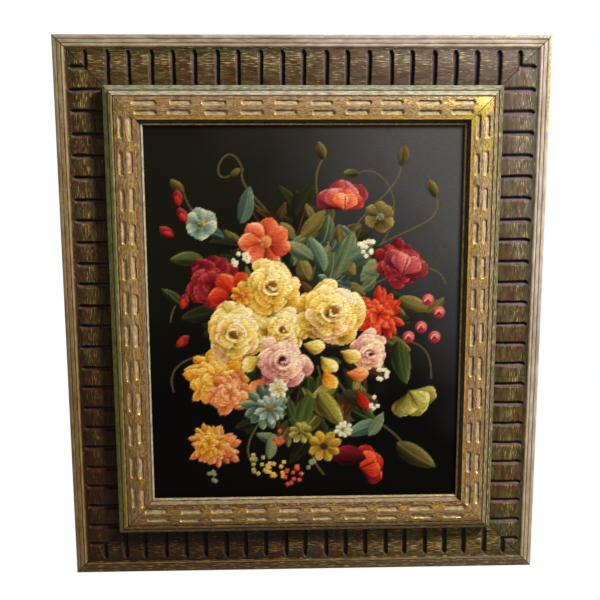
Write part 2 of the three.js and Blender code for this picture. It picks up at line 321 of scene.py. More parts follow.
def aged_paint_on_wood(looks):
    """Umber and olive paint on carved wood, dry-brushed with ochre: matt hollows and rubbed crests."""
    material, tree = start_material("Aged umber and olive paint on carved wood")
    grain = node(tree, "ShaderNodeUVMap", uv_map="grain").outputs["UV"]
    tint = node(tree, "ShaderNodeAttribute", attribute_name="tint").outputs["Color"]
    worn, cut, gilt, plain = [
        node(tree, "ShaderNodeAttribute", attribute_name=name).outputs["Fac"]
        for name in ("worn", "cut", "gilt", "plain")
    ]

    # Patches of thinner and thicker paint, about a thumb long
    patches = grain_pattern(tree, grain, 24.0, 6.0, 5.0)
    patch_tone = node(
        tree, "ShaderNodeValToRGB", {"Fac": patches},
        stops=((0.3, "#5A4A40"), (0.45, "#B0A694"), (0.6, "#FFFFFF"), (0.75, "#FFE6C0")),
    ).outputs["Color"]
    patchy = node(tree, "ShaderNodeMapRange", {"Value": plain, "To Min": 0.85, "To Max": 0.3})
    inputs = {0: patchy.outputs["Result"], 6: tint, 7: patch_tone}
    patched = node(tree, "ShaderNodeMix", inputs, **MULTIPLIED).outputs[2]

    # Short flecks of red-brown and of green under the dry-brush, left by rubbing back
    flecks = grain_pattern(tree, grain, 9.0, 1.7, 4.0)
    flecked = patched
    for low, high, most, colour in ((0.52, 0.6, 0.65, looks.red_brown), (0.44, 0.37, 0.6, looks.moss)):
        limits = {"Value": flecks, "From Min": low, "From Max": high, "To Max": most}
        mask = node(tree, "ShaderNodeMapRange", limits).outputs["Result"]
        inputs = {0: mask, 6: flecked, 7: (*colour, 1.0)}
        flecked = node(tree, "ShaderNodeMix", inputs, data_type="RGBA").outputs[2]
    patched = node(tree, "ShaderNodeMix", {0: plain, 6: flecked, 7: patched}, data_type="RGBA").outputs[2]

    # Dry-brush streaks along the rail, a millimetre wide, heavier on the worn crests
    streaks = grain_pattern(tree, grain, 14.0, 1.15, 5.0)
    streak_mask = rubbed_mask(tree, streaks, worn, 0.92, 1.0, 0.8)
    brushed = node(
        tree, "ShaderNodeMix", {0: streak_mask, 6: patched, 7: (*looks.dry_brush, 1.0)}, data_type="RGBA"
    ).outputs[2]

    # Bright leaf rubbed on the outer edge of the rim
    leaf_spots = grain_pattern(tree, grain, 5.0, 1.6, 4.0)
    leaf_mask = rubbed_mask(tree, leaf_spots, gilt, 0.86, 0.96)
    gilded = node(
        tree, "ShaderNodeMix", {0: leaf_mask, 6: brushed, 7: (*looks.gold_leaf, 1.0)}, data_type="RGBA"
    ).outputs[2]
    metal = node(tree, "ShaderNodeMath", {0: leaf_mask, 1: 0.35}, operation="MULTIPLY").outputs["Value"]
    # The painted shade stored at each point tones the colour, darkest and yellowest towards the lower left
    shaded_paint = under_painted_shade(tree, gilded)

    # Brush ridges stand a third of a millimetre, and the patches under them nearly one
    ridges = grain_pattern(tree, grain, 14.0, 0.9, 4.0)
    fine = node(tree, "ShaderNodeBump", {"Height": ridges, "Strength": 0.55, "Distance": 0.35 * MM})
    below = fine.outputs["Normal"]
    inputs = {"Height": patches, "Strength": 0.5, "Distance": 0.8 * MM, "Normal": below}
    normal = node(tree, "ShaderNodeBump", inputs).outputs["Normal"]
    limits = {"Value": streaks, "From Min": 0.3, "From Max": 0.7, "To Min": 0.36, "To Max": 0.58}
    gloss = node(tree, "ShaderNodeMapRange", limits).outputs["Result"]
    dull = node(tree, "ShaderNodeMix", {0: cut, 2: gloss, 3: 0.62}, data_type="FLOAT").outputs[0]
    finish_material(tree, {
        "Base Color": shaded_paint, "Metallic": metal, "Roughness": dull, "Normal": normal,
        "Specular IOR Level": 0.18,
    })
    return material


def leaf_over_clay(looks):
    """Taupe paint and worn gold leaf over red clay on carved wood: the leaf shines, the rest is matt."""
    material, tree = start_material("Worn gold leaf and taupe paint over red clay")
    grain = node(tree, "ShaderNodeUVMap", uv_map="grain").outputs["UV"]
    tint = node(tree, "ShaderNodeAttribute", attribute_name="tint").outputs["Color"]
    worn, gilt = [
        node(tree, "ShaderNodeAttribute", attribute_name=name).outputs["Fac"] for name in ("worn", "gilt")
    ]

    # The paint is uneven in patches a few millimetres across
    patches = grain_pattern(tree, grain, 11.0, 3.0, 5.0)
    patch_tone = node(
        tree, "ShaderNodeValToRGB", {"Fac": patches},
        stops=((0.3, "#8A7460"), (0.48, "#D8CEBE"), (0.64, "#FFFFFF")),
    ).outputs["Color"]
    patched = node(tree, "ShaderNodeMix", {0: 0.85, 6: tint, 7: patch_tone}, **MULTIPLIED).outputs[2]

    # Pale dry-brush on the crests of the reeds and the band
    streaks = grain_pattern(tree, grain, 12.0, 1.0, 5.0)
    streak_mask = rubbed_mask(tree, streaks, worn, 0.9, 1.0, 0.7)
    brushed = node(
        tree, "ShaderNodeMix", {0: streak_mask, 6: patched, 7: (*looks.dry_brush, 1.0)}, data_type="RGBA"
    ).outputs[2]

    # Gold leaf left in flakes, with a thread of red clay round each
    flakes = grain_pattern(tree, grain, 6.0, 2.0, 5.0)
    clay_mask = rubbed_mask(tree, flakes, gilt, 0.8, 0.86, 0.8)
    leaf_mask = rubbed_mask(tree, flakes, gilt, 0.85, 0.92)
    clayed = node(
        tree, "ShaderNodeMix", {0: clay_mask, 6: brushed, 7: (*looks.red_clay, 1.0)}, data_type="RGBA"
    ).outputs[2]
    gilded = node(
        tree, "ShaderNodeMix", {0: leaf_mask, 6: clayed, 7: (*looks.gold_leaf, 1.0)}, data_type="RGBA"
    ).outputs[2]
    metal = node(tree, "ShaderNodeMath", {0: leaf_mask, 1: 0.4}, operation="MULTIPLY").outputs["Value"]
    # The painted shade stored at each point tones the colour, darkest and yellowest towards the lower left
    shaded_paint = under_painted_shade(tree, gilded)

    # Brush ridges, and flakes that lift a little at their edges
    ridges = grain_pattern(tree, grain, 9.0, 0.8, 4.0)
    fine = node(tree, "ShaderNodeBump", {"Height": ridges, "Strength": 0.5, "Distance": 0.3 * MM})
    below = fine.outputs["Normal"]
    inputs = {"Height": flakes, "Strength": 0.4, "Distance": 0.4 * MM, "Normal": below}
    normal = node(tree, "ShaderNodeBump", inputs).outputs["Normal"]
    limits = {"Value": leaf_mask, "To Min": 0.56, "To Max": 0.34}
    gloss = node(tree, "ShaderNodeMapRange", limits).outputs["Result"]
    finish_material(tree, {
        "Base Color": shaded_paint, "Metallic": metal, "Roughness": gloss, "Normal": normal,
        "Specular IOR Level": 0.3,
    })
    return material


def oil_on_canvas():
    """Oil paint on primed linen under an old clear coat: satin gloss, the weave showing through thin paint.
    """
    material, tree = start_material("Varnished oil paint on linen")
    cloth = node(tree, "ShaderNodeUVMap", uv_map="cloth").outputs["UV"]
    paint = node(tree, "ShaderNodeAttribute", attribute_name="paint").outputs["Color"]
    body = node(tree, "ShaderNodeAttribute", attribute_name="body").outputs["Fac"]

    # Linen threads are about 0.6 mm apart, and drawn at 1.5 mm so that they show from the front
    waves = {"Vector": cloth, "Scale": WAVE_PERIOD / (1.5 * MM), "Distortion": 1.5, "Detail": 2.0}
    warp, weft = [
        node(tree, "ShaderNodeTexWave", waves, bands_direction=direction).outputs["Fac"]
        for direction in ("X", "Y")
    ]
    weave = node(tree, "ShaderNodeMath", {0: warp, 1: weft}, operation="MAXIMUM").outputs["Value"]

    # Bristle marks two millimetres apart break up each stroke
    bristles = grain_pattern(tree, cloth, 7.0, 2.2, 3.0)
    bristle_tone = node(
        tree, "ShaderNodeValToRGB", {"Fac": bristles},
        stops=((0.3, "#BEB2A2"), (0.55, "#F2EEE8"), (0.7, "#FFFFFF")),
    ).outputs["Color"]
    stroked = node(tree, "ShaderNodeMix", {0: body, 6: paint, 7: bristle_tone}, **MULTIPLIED).outputs[2]
    threads = node(tree, "ShaderNodeBump", {"Height": weave, "Strength": 0.45, "Distance": 0.2 * MM})
    below = threads.outputs["Normal"]
    inputs = {"Height": bristles, "Strength": 0.35, "Distance": 0.3 * MM, "Normal": below}
    normal = node(tree, "ShaderNodeBump", inputs).outputs["Normal"]
    limits = {"Value": weave, "To Min": 0.62, "To Max": 0.42}
    gloss = node(tree, "ShaderNodeMapRange", limits).outputs["Result"]
    finish_material(tree, {
        "Base Color": stroked, "Roughness": gloss, "Normal": normal, "Specular IOR Level": 0.07,
    })
    return material


def aged_pine(name, upright):
    """Bare planed pine gone honey-brown: soft early wood, darker late-wood lines, no varnish."""
    material, tree = start_material(name)
    place = node(tree, "ShaderNodeTexCoord").outputs["Object"]
    turn = (0.0, math.radians(90.0), 0.0) if upright else (0.0, 0.0, 0.0)
    along = node(tree, "ShaderNodeMapping", {"Vector": place, "Rotation": turn}).outputs["Vector"]
    rings = grain_pattern(tree, along, 120.0, 3.2, 3.0)
    fibres = grain_pattern(tree, along, 22.0, 0.5, 3.0)
    ring_tone = node(
        tree, "ShaderNodeValToRGB", {"Fac": rings},
        stops=((0.35, "#9C7446"), (0.47, "#C39A64"), (0.55, "#B58A55"), (0.68, "#CDA873")),
    ).outputs["Color"]
    fibre_tone = node(
        tree, "ShaderNodeValToRGB", {"Fac": fibres}, stops=((0.3, "#B9AA96"), (0.7, "#FFFFFF"))
    ).outputs["Color"]
    wood = node(tree, "ShaderNodeMix", {0: 0.8, 6: ring_tone, 7: fibre_tone}, **MULTIPLIED).outputs[2]
    bump = node(tree, "ShaderNodeBump", {"Height": fibres, "Strength": 0.4, "Distance": 0.2 * MM})
    finish_material(tree, {"Base Color": wood, "Roughness": 0.68, "Normal": bump.outputs["Normal"]})
    return material


def zinc_plated_steel():
    """Pressed steel with a dulled zinc plating: grey metal with cloudy spangles and fine scratches."""
    material, tree = start_material("Dulled zinc-plated steel")
    place = node(tree, "ShaderNodeTexCoord").outputs["Object"]
    clouds = grain_pattern(tree, place, 4.0, 4.0, 3.0)
    scratches = grain_pattern(tree, place, 9.0, 0.3, 2.0)
    tone = node(
        tree, "ShaderNodeValToRGB", {"Fac": clouds},
        stops=((0.3, "#77756E"), (0.6, "#A3A29C"), (0.8, "#B8B7B0")),
    ).outputs["Color"]
    gloss = node(tree, "ShaderNodeMapRange", {"Value": clouds, "To Min": 0.3, "To Max": 0.55})
    bump = node(tree, "ShaderNodeBump", {"Height": scratches, "Strength": 0.25, "Distance": 0.1 * MM})
    finish_material(tree, {
        "Base Color": tone, "Metallic": 1.0, "Roughness": gloss.outputs["Result"],
        "Normal": bump.outputs["Normal"],
    })
    return material


def plain_stage_paint(looks):
    """Pale matt paint of a studio floor, with a faint roller texture."""
    material, tree = start_material("Pale matt studio floor")
    place = node(tree, "ShaderNodeTexCoord").outputs["Object"]
    roller = grain_pattern(tree, place, 3.0, 3.0, 2.0)
    bump = node(tree, "ShaderNodeBump", {"Height": roller, "Strength": 0.1, "Distance": 0.2 * MM})
    normal = bump.outputs["Normal"]
    finish_material(tree, {"Base Color": (*looks.floor_colour, 1.0), "Roughness": 0.8, "Normal": normal})
    return material


# Mesh building


def new_piece(name, points, faces, material, uv, values, colours, smooth_angle=40.0):
    """A mesh piece at the origin from points in millimetres, with its UV map and attributes per point."""
    mesh = bpy.data.meshes.new(name)
    mesh.from_pydata((np.asarray(points) * MM).tolist(), [], faces)
    mesh.materials.append(material)
    mesh.shade_smooth()
    mesh.set_sharp_from_angle(angle=math.radians(smooth_angle))
    map_name, flat = uv
    layer = mesh.uv_layers.new(name=map_name)
    layer.data.foreach_set("uv", np.asarray(flat, dtype=np.float32).ravel())
    for value_name, data in values.items():
        layer = mesh.attributes.new(value_name, "FLOAT", "POINT")
        layer.data.foreach_set("value", np.asarray(data, dtype=np.float32).ravel())
    for value_name, data in colours.items():
        solid = np.concatenate([data, np.ones((len(data), 1))], axis=1)
        layer = mesh.attributes.new(value_name, "FLOAT_COLOR", "POINT")
        layer.data.foreach_set("color", solid.astype(np.float32).ravel())
    mesh.validate()
    piece = bpy.data.objects.new(name, mesh)
    bpy.context.scene.collection.objects.link(piece)
    return piece


def side_places(side, along, inset, depth):
    """Model points in millimetres, from places along a side, insets from its edge and depths off the wall."""
    (run_x, run_z), (out_x, out_z), _, reach, _ = SIDES[side]
    x = along * run_x + (reach - inset) * out_x
    z = CENTRE_Z + along * run_z + (reach - inset) * out_z
    return np.stack([x, -depth, z], axis=-1)


def mitred_piece(name, side, columns, insets, depth_at, material, paint_at):
    """A rail between two mitres: insets run round its closed section, and depth_at gives the depths."""
    half = SIDES[side][2]
    insets = np.asarray(insets, dtype=float)
    share = np.linspace(-1, 1, columns + 1)
    ends = half - insets - GAP * math.sqrt(0.5)
    along = share[:, None] * ends[None, :]
    inset = np.broadcast_to(insets, along.shape)
    depth = depth_at(along, inset)
    points = side_places(side, along, inset, depth)
    rows = len(insets)
    column = np.arange(columns)[:, None]
    row = np.arange(rows)[None, :]
    following = (row + 1) % rows
    quads = np.stack([
        np.broadcast_to(column * rows + row, (columns, rows)),
        np.broadcast_to((column + 1) * rows + row, (columns, rows)),
        (column + 1) * rows + following,
        column * rows + following,
    ], axis=-1).reshape(-1, 4)
    first_end = list(range(rows))
    last_end = [columns * rows + place for place in reversed(range(rows))]

    # The grain map runs along the rail and round its section, in metres
    middle = depth[columns // 2]
    steps = np.hypot(np.diff(np.append(insets, insets[0])), np.diff(np.append(middle, middle[0])))
    round_section = np.concatenate([[0], np.cumsum(steps)])
    shift = SIDES[side][4] * 1000
    low = round_section[:-1]
    high = round_section[1:]
    ahead = np.roll(along, -1, 1)
    loop_along = np.stack([along[:-1], along[1:], ahead[1:], ahead[:-1]], axis=-1)
    loop_round = np.broadcast_to(np.stack([low, low, high, high], axis=-1), loop_along.shape)
    side_uv = np.stack([loop_along + shift, loop_round], axis=-1).reshape(-1, 2)
    end_uv = np.stack([depth[0] + shift, insets], axis=-1)
    uv = np.concatenate([side_uv, end_uv, end_uv[::-1]]) * MM

    values, colours = paint_at(points, along, inset, depth)
    return new_piece(
        name, points.reshape(-1, 3), [*quads.tolist(), first_end, last_end], material,
        uv=("grain", uv),
        values={key: data.ravel() for key, data in values.items()},
        colours={key: data.reshape(-1, 3) for key, data in colours.items()},
    )


def cut_centres(half, corner_inset, pitch, wander, phase):
    """Centres of a row of cuts, evenly spaced between the two corner cuts and a little unsure, as by hand."""
    span = 2 * half - 2 * corner_inset
    count = max(1, round(span / pitch))
    place = np.arange(count + 1)
    return -span / 2 + span * place / count + wander * np.sin(2.4 * place + phase)


def frieze_depth(inset):
    """Depth of the frieze's cushioned face before it is cut."""
    share = (inset - RIM_WIDTH) / FRIEZE_WIDTH
    chord = FRIEZE_OUTER_HEIGHT + (FRIEZE_INNER_HEIGHT - FRIEZE_OUTER_HEIGHT) * share
    fillet = FILLET_HEIGHT * np.exp(-np.clip(inset - RIM_WIDTH, 0, None) / FILLET_WIDTH)
    return chord + FRIEZE_CROWN * (1 - (2 * share - 1) ** 2) + fillet


def rim_depth(inset):
    """Depth of the rim: rounded outer edge, two grooves, and a bevel down to the frieze."""
    places = [0, RIM_ROUND * 0.3, RIM_ROUND]
    depths = [RIM_HEIGHT - RIM_ROUND, RIM_HEIGHT - RIM_ROUND * 0.3, RIM_HEIGHT]
    for groove in RIM_GROOVES:
        places += [groove - RIM_GROOVE_HALF, groove, groove + RIM_GROOVE_HALF]
        depths += [RIM_HEIGHT, RIM_HEIGHT - RIM_GROOVE_DEPTH, RIM_HEIGHT]
    places += [RIM_BEVEL, RIM_WIDTH]
    depths += [RIM_HEIGHT, FRIEZE_OUTER_HEIGHT + FILLET_HEIGHT]
    return np.interp(inset, places, depths)


def gouge_floor(side, along, inset):
    """Depth of the gouge cuts' own surface, and far above the wood where there is no cut."""
    half, phase = SIDES[side][2], SIDES[side][4]
    floor = np.full(along.shape, FAR)
    centres = cut_centres(half, GOUGE_CORNER_INSET, GOUGE_PITCH, GOUGE_WANDER, phase)
    for place, centre in enumerate(centres):
        radius = GOUGE_RADIUS * (1 + 0.06 * math.sin(5.3 * place + phase))
        lean = 0.012 * math.sin(3.7 * place + 2 * phase)
        beyond = np.clip(GOUGE_START + GOUGE_TIP - inset, 0, GOUGE_TIP) / GOUGE_TIP
        narrowing = 1 - 0.0035 * np.clip(inset - GOUGE_START, 0, 60)
        reach = radius * np.sqrt(np.clip(1 - beyond ** 2, 0, 1)) * narrowing
        lift = GOUGE_LIFT * (inset - GOUGE_START) / (GOUGE_END - GOUGE_START)
        bottom = frieze_depth(inset) - GOUGE_DEPTH + np.clip(lift, 0, GOUGE_LIFT)
        off = along - centre - lean * (inset - 50)
        inside = (np.abs(off) < reach) & (inset > GOUGE_START) & (inset < GOUGE_END)
        here = bottom + reach - np.sqrt(np.clip(reach ** 2 - off ** 2, 0, None)) + 2.0 * beyond ** 2
        floor = np.where(inside, np.minimum(floor, here), floor)
    return floor


def hollow_share(side, along, inset):
    """Each point's share of the hollows' depth, and of the gap between two hollows and of an end wall."""
    half, phase = SIDES[side][2], SIDES[side][4]
    deepest = np.zeros(along.shape)
    unsteady = 1.1 * (noise(along / 6, inset / 4, 17 + phase) - 0.5)
    gaps = np.zeros(along.shape)
    ends = np.zeros(along.shape)
    round_end = HOLLOW_WIDTH * 0.47
    for row_place, row in enumerate(HOLLOW_ROWS):
        row_phase = phase + 1.7 * row_place
        to_end = np.full(along.shape, FAR)
        centres = cut_centres(half, HOLLOW_CORNER_INSET, HOLLOW_PITCH, HOLLOW_WANDER, row_phase)
        for place, centre in enumerate(centres):
            half_length = (HOLLOW_LENGTH + HOLLOW_WANDER * math.cos(3.1 * place + row_phase)) / 2
            row_drift = 0.5 * math.sin(4.1 * place + phase)
            off = along - centre
            x = np.abs(off) - (half_length - round_end)
            y = np.abs(inset - BAND_EDGE - row - row_drift) - (HOLLOW_WIDTH / 2 - round_end)
            outside = np.hypot(np.maximum(x, 0), np.maximum(y, 0)) + np.minimum(np.maximum(x, y), 0)
            share = smooth(0.0, 2.1, -(outside - round_end + unsteady))
            beyond_end = np.abs(off) - half_length
            deepest = np.maximum(deepest, share)
            ends = np.maximum(ends, 4 * share * (1 - share) * smooth(-3.2, -1.0, beyond_end))
            to_end = np.minimum(to_end, beyond_end)
        in_row = stripe(inset - BAND_EDGE, row, 4.2)
        gaps = np.maximum(gaps, (0.5 + 0.5 * row_place) * smooth(1.0, 5.0, to_end) * in_row)
    return deepest, gaps, ends


def reed_depth(inset):
    """Depth of the two sloping reeds and the groove beyond them."""
    place = inset - MOULDING_EDGE
    slope = MOULDING_TOP + REEDS_RISE * place / REEDS_WIDTH
    first, second = REED_GROOVES
    share = np.where(place < first, place / first, (place - first) / (second - first))
    bulge = 2.1 * np.clip(1 - (2 * np.clip(share, 0, 1) - 1) ** 2, 0, 1) ** 0.6
    grooves = sum(stripe(place, groove, 0.55) for groove in REED_GROOVES)
    return slope + np.where(place > second, 0.3, bulge) - REED_GROOVE_DEPTH * grooves


def band_depth(inset):
    """Depth of the arched band before it is cut, and of the lip that falls from it."""
    share = (inset - BAND_EDGE) / BAND_WIDTH
    arch = BAND_HEIGHT + BAND_CROWN * (1 - (2 * share - 1) ** 2)
    start_share = (LIP_START - BAND_EDGE) / BAND_WIDTH
    start = BAND_HEIGHT + BAND_CROWN * (1 - (2 * start_share - 1) ** 2)
    lip = start + (LIP_HEIGHT - start) * (inset - LIP_START) / (LIP_EDGE - LIP_START)
    return np.where(inset < LIP_START, arch, lip)


def turned_from_light(side, along, inset, depth):
    """From -1 on walls that face the light to 1 on walls that face away, which guides where highlight and
    shade are painted.
    """
    (run_x, run_z), (out_x, out_z) = SIDES[side][:2]
    slope_along = np.gradient(depth, axis=0) / np.gradient(along, axis=0)
    inset_step = np.gradient(inset, axis=1)
    sloping = np.abs(inset_step) > 0.05
    rise = np.gradient(depth, axis=1) - slope_along * np.gradient(along, axis=1)
    slope_in = np.where(sloping, rise / np.where(sloping, inset_step, 1.0), 0.0)
    with_run = run_x * LIGHT_SIDE[0] + run_z * LIGHT_SIDE[1]
    with_out = out_x * LIGHT_SIDE[0] + out_z * LIGHT_SIDE[1]
    return np.clip(slope_along * with_run - slope_in * with_out, -1, 1)


def world_place(points):
    """Places across and up the frame from its middle, from -1 to 1 at its edges."""
    return points[..., 0] / HALF_WIDTH, (points[..., 2] - CENTRE_Z) / HALF_HEIGHT


def painted_shade_across(points, shares):
    """Painted shade across the frame: the paint's tone at each point, darker and yellower towards the lower
    left.
    """
    across, up = world_place(points)
    place = -(across + up) / 2
    return np.stack([np.interp(place, SHADE_PLACES, channel) for channel in shares], axis=-1)


# Pieces of the frame


def outer_rail(side, looks, material):
    """One side of the outer frame: grooved rim, cushioned frieze crossed by gouge cuts, flat back."""
    half, phase = SIDES[side][2], SIDES[side][4]
    front = [*RIM_ROWS, *FRIEZE_ROWS, 90]
    insets = [*front, RAIL_INNER, RAIL_INNER, 60, 0, 0]
    is_front = (np.arange(len(insets)) < len(front) + 1)[None, :]
    fixed = np.zeros(len(insets))
    fixed[-1] = RIM_HEIGHT - RIM_ROUND - 1.2
    relief = looks.relief

    def depth_at(along, inset):
        seed = 11 + phase
        frieze_face = np.where(inset > MOULDING_EDGE, FRIEZE_INNER_HEIGHT, frieze_depth(inset))
        uneven = 0.55 * (noise(along / 31, inset / 17, seed) - 0.5)
        uneven = uneven + 0.25 * (noise(along / 6, inset / 5, seed) - 0.5)
        on_frieze = smooth(RIM_WIDTH, RIM_WIDTH + 3, inset)
        on_frieze = on_frieze * smooth(MOULDING_EDGE + 1, MOULDING_EDGE - 3, inset)
        face = frieze_face + relief * uneven * on_frieze
        face = np.where(inset < RIM_WIDTH, rim_depth(inset) + 0.25 * relief * (uneven - 0.1), face)
        cut = gouge_floor(side, along, inset) + 0.3 * (noise(along / 2.5, inset / 9, seed + 3) - 0.5)
        return np.where(is_front, np.minimum(face, cut), fixed[None, :])

    def paint_at(points, along, inset, depth):
        seed = 5 + phase
        across, up = world_place(points)
        face = np.where(inset > RIM_WIDTH, frieze_depth(inset), depth)
        cut = np.where(is_front, smooth(0.4, 2.2, face - depth), 0.0) * (inset < MOULDING_EDGE + 1)
        long_patch = noise(along / 46, inset / 15, seed)
        small_patch = noise(along / 13, inset / 6, seed + 2)
        away = turned_from_light(side, along, inset, depth)

        # The frieze is umber and olive, green by the rim, purple-grey to the upper right
        olive_share = smooth(0.35, 0.7, long_patch + 0.2 * (small_patch - 0.5))
        green_side = smooth(RIM_WIDTH + 20, RIM_WIDTH + 2, inset) * smooth(0.25, 0.55, long_patch)
        lower_right = smooth(0.7, 1.8, across - up)
        base = coated(
            np.array(looks.umber),
            (looks.olive, olive_share),
            ("#4E2B1F", by_side(side, 0.6, 0.6, 0.85, 0.6) * smooth(0.55, 0.8, small_patch)),
            ("#28321F", 0.85 * green_side),
            ("#5C5049", 0.55 * smooth(0.7, 1.7, across + up)),
            ("#66602C", by_side(side, 0.1, 0.1, 0.7, 0.1) * lower_right),
        )
        # Painted shade darkens the frieze, most on the bottom, then the left, a little on the top, and less
        # towards the lower right
        darker = by_side(side, 0.06, 0.3, 0.65, 0.0)
        base = base * (1 - darker * (1 - 0.5 * lower_right))[..., None]

        # The gouges are painted mauve, and black as painted shade on the walls turned away from the light
        lit = by_side(side, -0.9, -0.55, -0.9, -0.55)
        gouge_paint = coated(
            linear("#4A3C41"), ("#725C66", small_patch), ("#0A0806", smooth(lit, lit + 0.8, away))
        )
        base = mixed(base, gouge_paint, 0.95 * cut)
        chip = np.hypot(points[..., 0] - CHIP_PLACE[0], points[..., 2] - CENTRE_Z - CHIP_PLACE[1])
        base = coated(base, ("#E8E4DA", smooth(1.6, 0.9, chip)))

        # The rim is paler, with dark lines of painted shade in its grooves and a gold and a red line by the
        # frieze; the rim and its red line are painted darker on the left and bottom and lighter on the top
        # and right, and the gold line darker on the bottom, as painted light and shade
        rim_tone = coated(
            np.array(looks.rim),
            ("#8A7860", smooth(0.4, 0.8, long_patch) * 0.6),
            ("#7A6236", by_side(side, 0.05, 0.45, 0.8, 0.05)),
        )
        grooves = np.maximum(*[stripe(inset, groove, 0.75) for groove in RIM_GROOVES])
        rim_paint = coated(rim_tone * by_side(side, 0.97, 0.8, 0.38, 1.12), ("#3E3026", 0.45 * grooves))
        gold_line = linear("#CDB88C") * by_side(side, 1.0, 1.0, 0.5, 1.0)
        red_line = by_side(side, "#7A5C48", "#3A1E16", "#2C1810", "#6E4A3C")
        rim_paint = coated(
            rim_paint,
            (gold_line, 0.8 * stripe(inset, RIM_GOLD_LINE, 0.8)),
            (red_line, 0.8 * stripe(inset, RIM_RED_LINE, 0.6)),
        )
        on_rim = (inset < RIM_WIDTH + 0.5) & is_front
        base = np.where(on_rim[..., None], rim_paint, base)

        # The back and the side wall are bare wood, darker where hands have worn the wall
        bare = ~np.broadcast_to(is_front, inset.shape)
        wood = mixed(linear("#7E6040"), linear("#9A7850"), noise(along / 90, inset / 4, seed + 8, 3))
        base = np.where(bare[..., None], wood, base)
        base = np.where((bare & (depth > 1))[..., None], linear("#4A3826"), base)

        # The paint has cracked open along each mitre
        to_mitre = half - inset - np.abs(along)
        green_corner = smooth(80, 20, to_mitre) * smooth(1.5, 1.8, across - up) * (inset > RIM_WIDTH)
        crack = smooth(1.6, 0.3, to_mitre) * is_front
        green_corner = green_corner * is_front * (1 - cut)
        base = coated(base, ("#2E3C2C", 0.75 * green_corner), ("#0E0B09", 0.85 * crack))

        # Wear is heavier on the crest; the dry-brush is also heavier on edges that face the light, as a
        # painted highlight, and thinner towards the lower left
        worn = 0.29 + 0.09 * stripe(inset, 40, 15) + 0.12 * (long_patch - 0.5)
        worn = worn + 0.08 * smooth(0.0, 0.5, -away)
        worn = worn - 0.05 * smooth(-0.6, 1.4, -across - up) - by_side(side, 0.0, 0.0, -0.03, 0.03)
        worn = np.where(inset < RIM_WIDTH, 0.36, worn) * (1 - cut) * (1 - crack)
        worn = np.where(is_front, worn, 0.0)
        edge_gilt = 0.2 + 0.14 * smooth(1.1, 1.9, across + up) + by_side(side, 0.0, 0.0, 0.0, 0.05)
        gilt = np.where((inset < RIM_GOLD_EDGE) & is_front, edge_gilt, 0.0)
        gilt = np.where(np.abs(inset - RIM_GOLD_LINE) < 0.7, 0.24, gilt)
        plain = np.maximum(cut, 0.55 * smooth(0.2, 1.5, across + up))
        plain = np.where(inset < RIM_WIDTH, 0.8, plain)
        plain = np.where(bare, 1.0, plain)
        # Painted shade across the frame, darkest and yellowest towards the lower left, lies on the rim and
        # the frieze but not on the bare wood
        painted_shade = np.where(on_rim[..., None], painted_shade_across(points, RIM_SHADE), painted_shade_across(points, FRIEZE_SHADE))
        painted_shade = np.where(bare[..., None], 1.0, painted_shade)
        return {"worn": worn, "cut": cut, "gilt": gilt, "plain": plain}, {"tint": base, "painted_shade": painted_shade}

    return mitred_piece(f"outer_frame_{side}", side, looks.columns, insets, depth_at, material, paint_at)


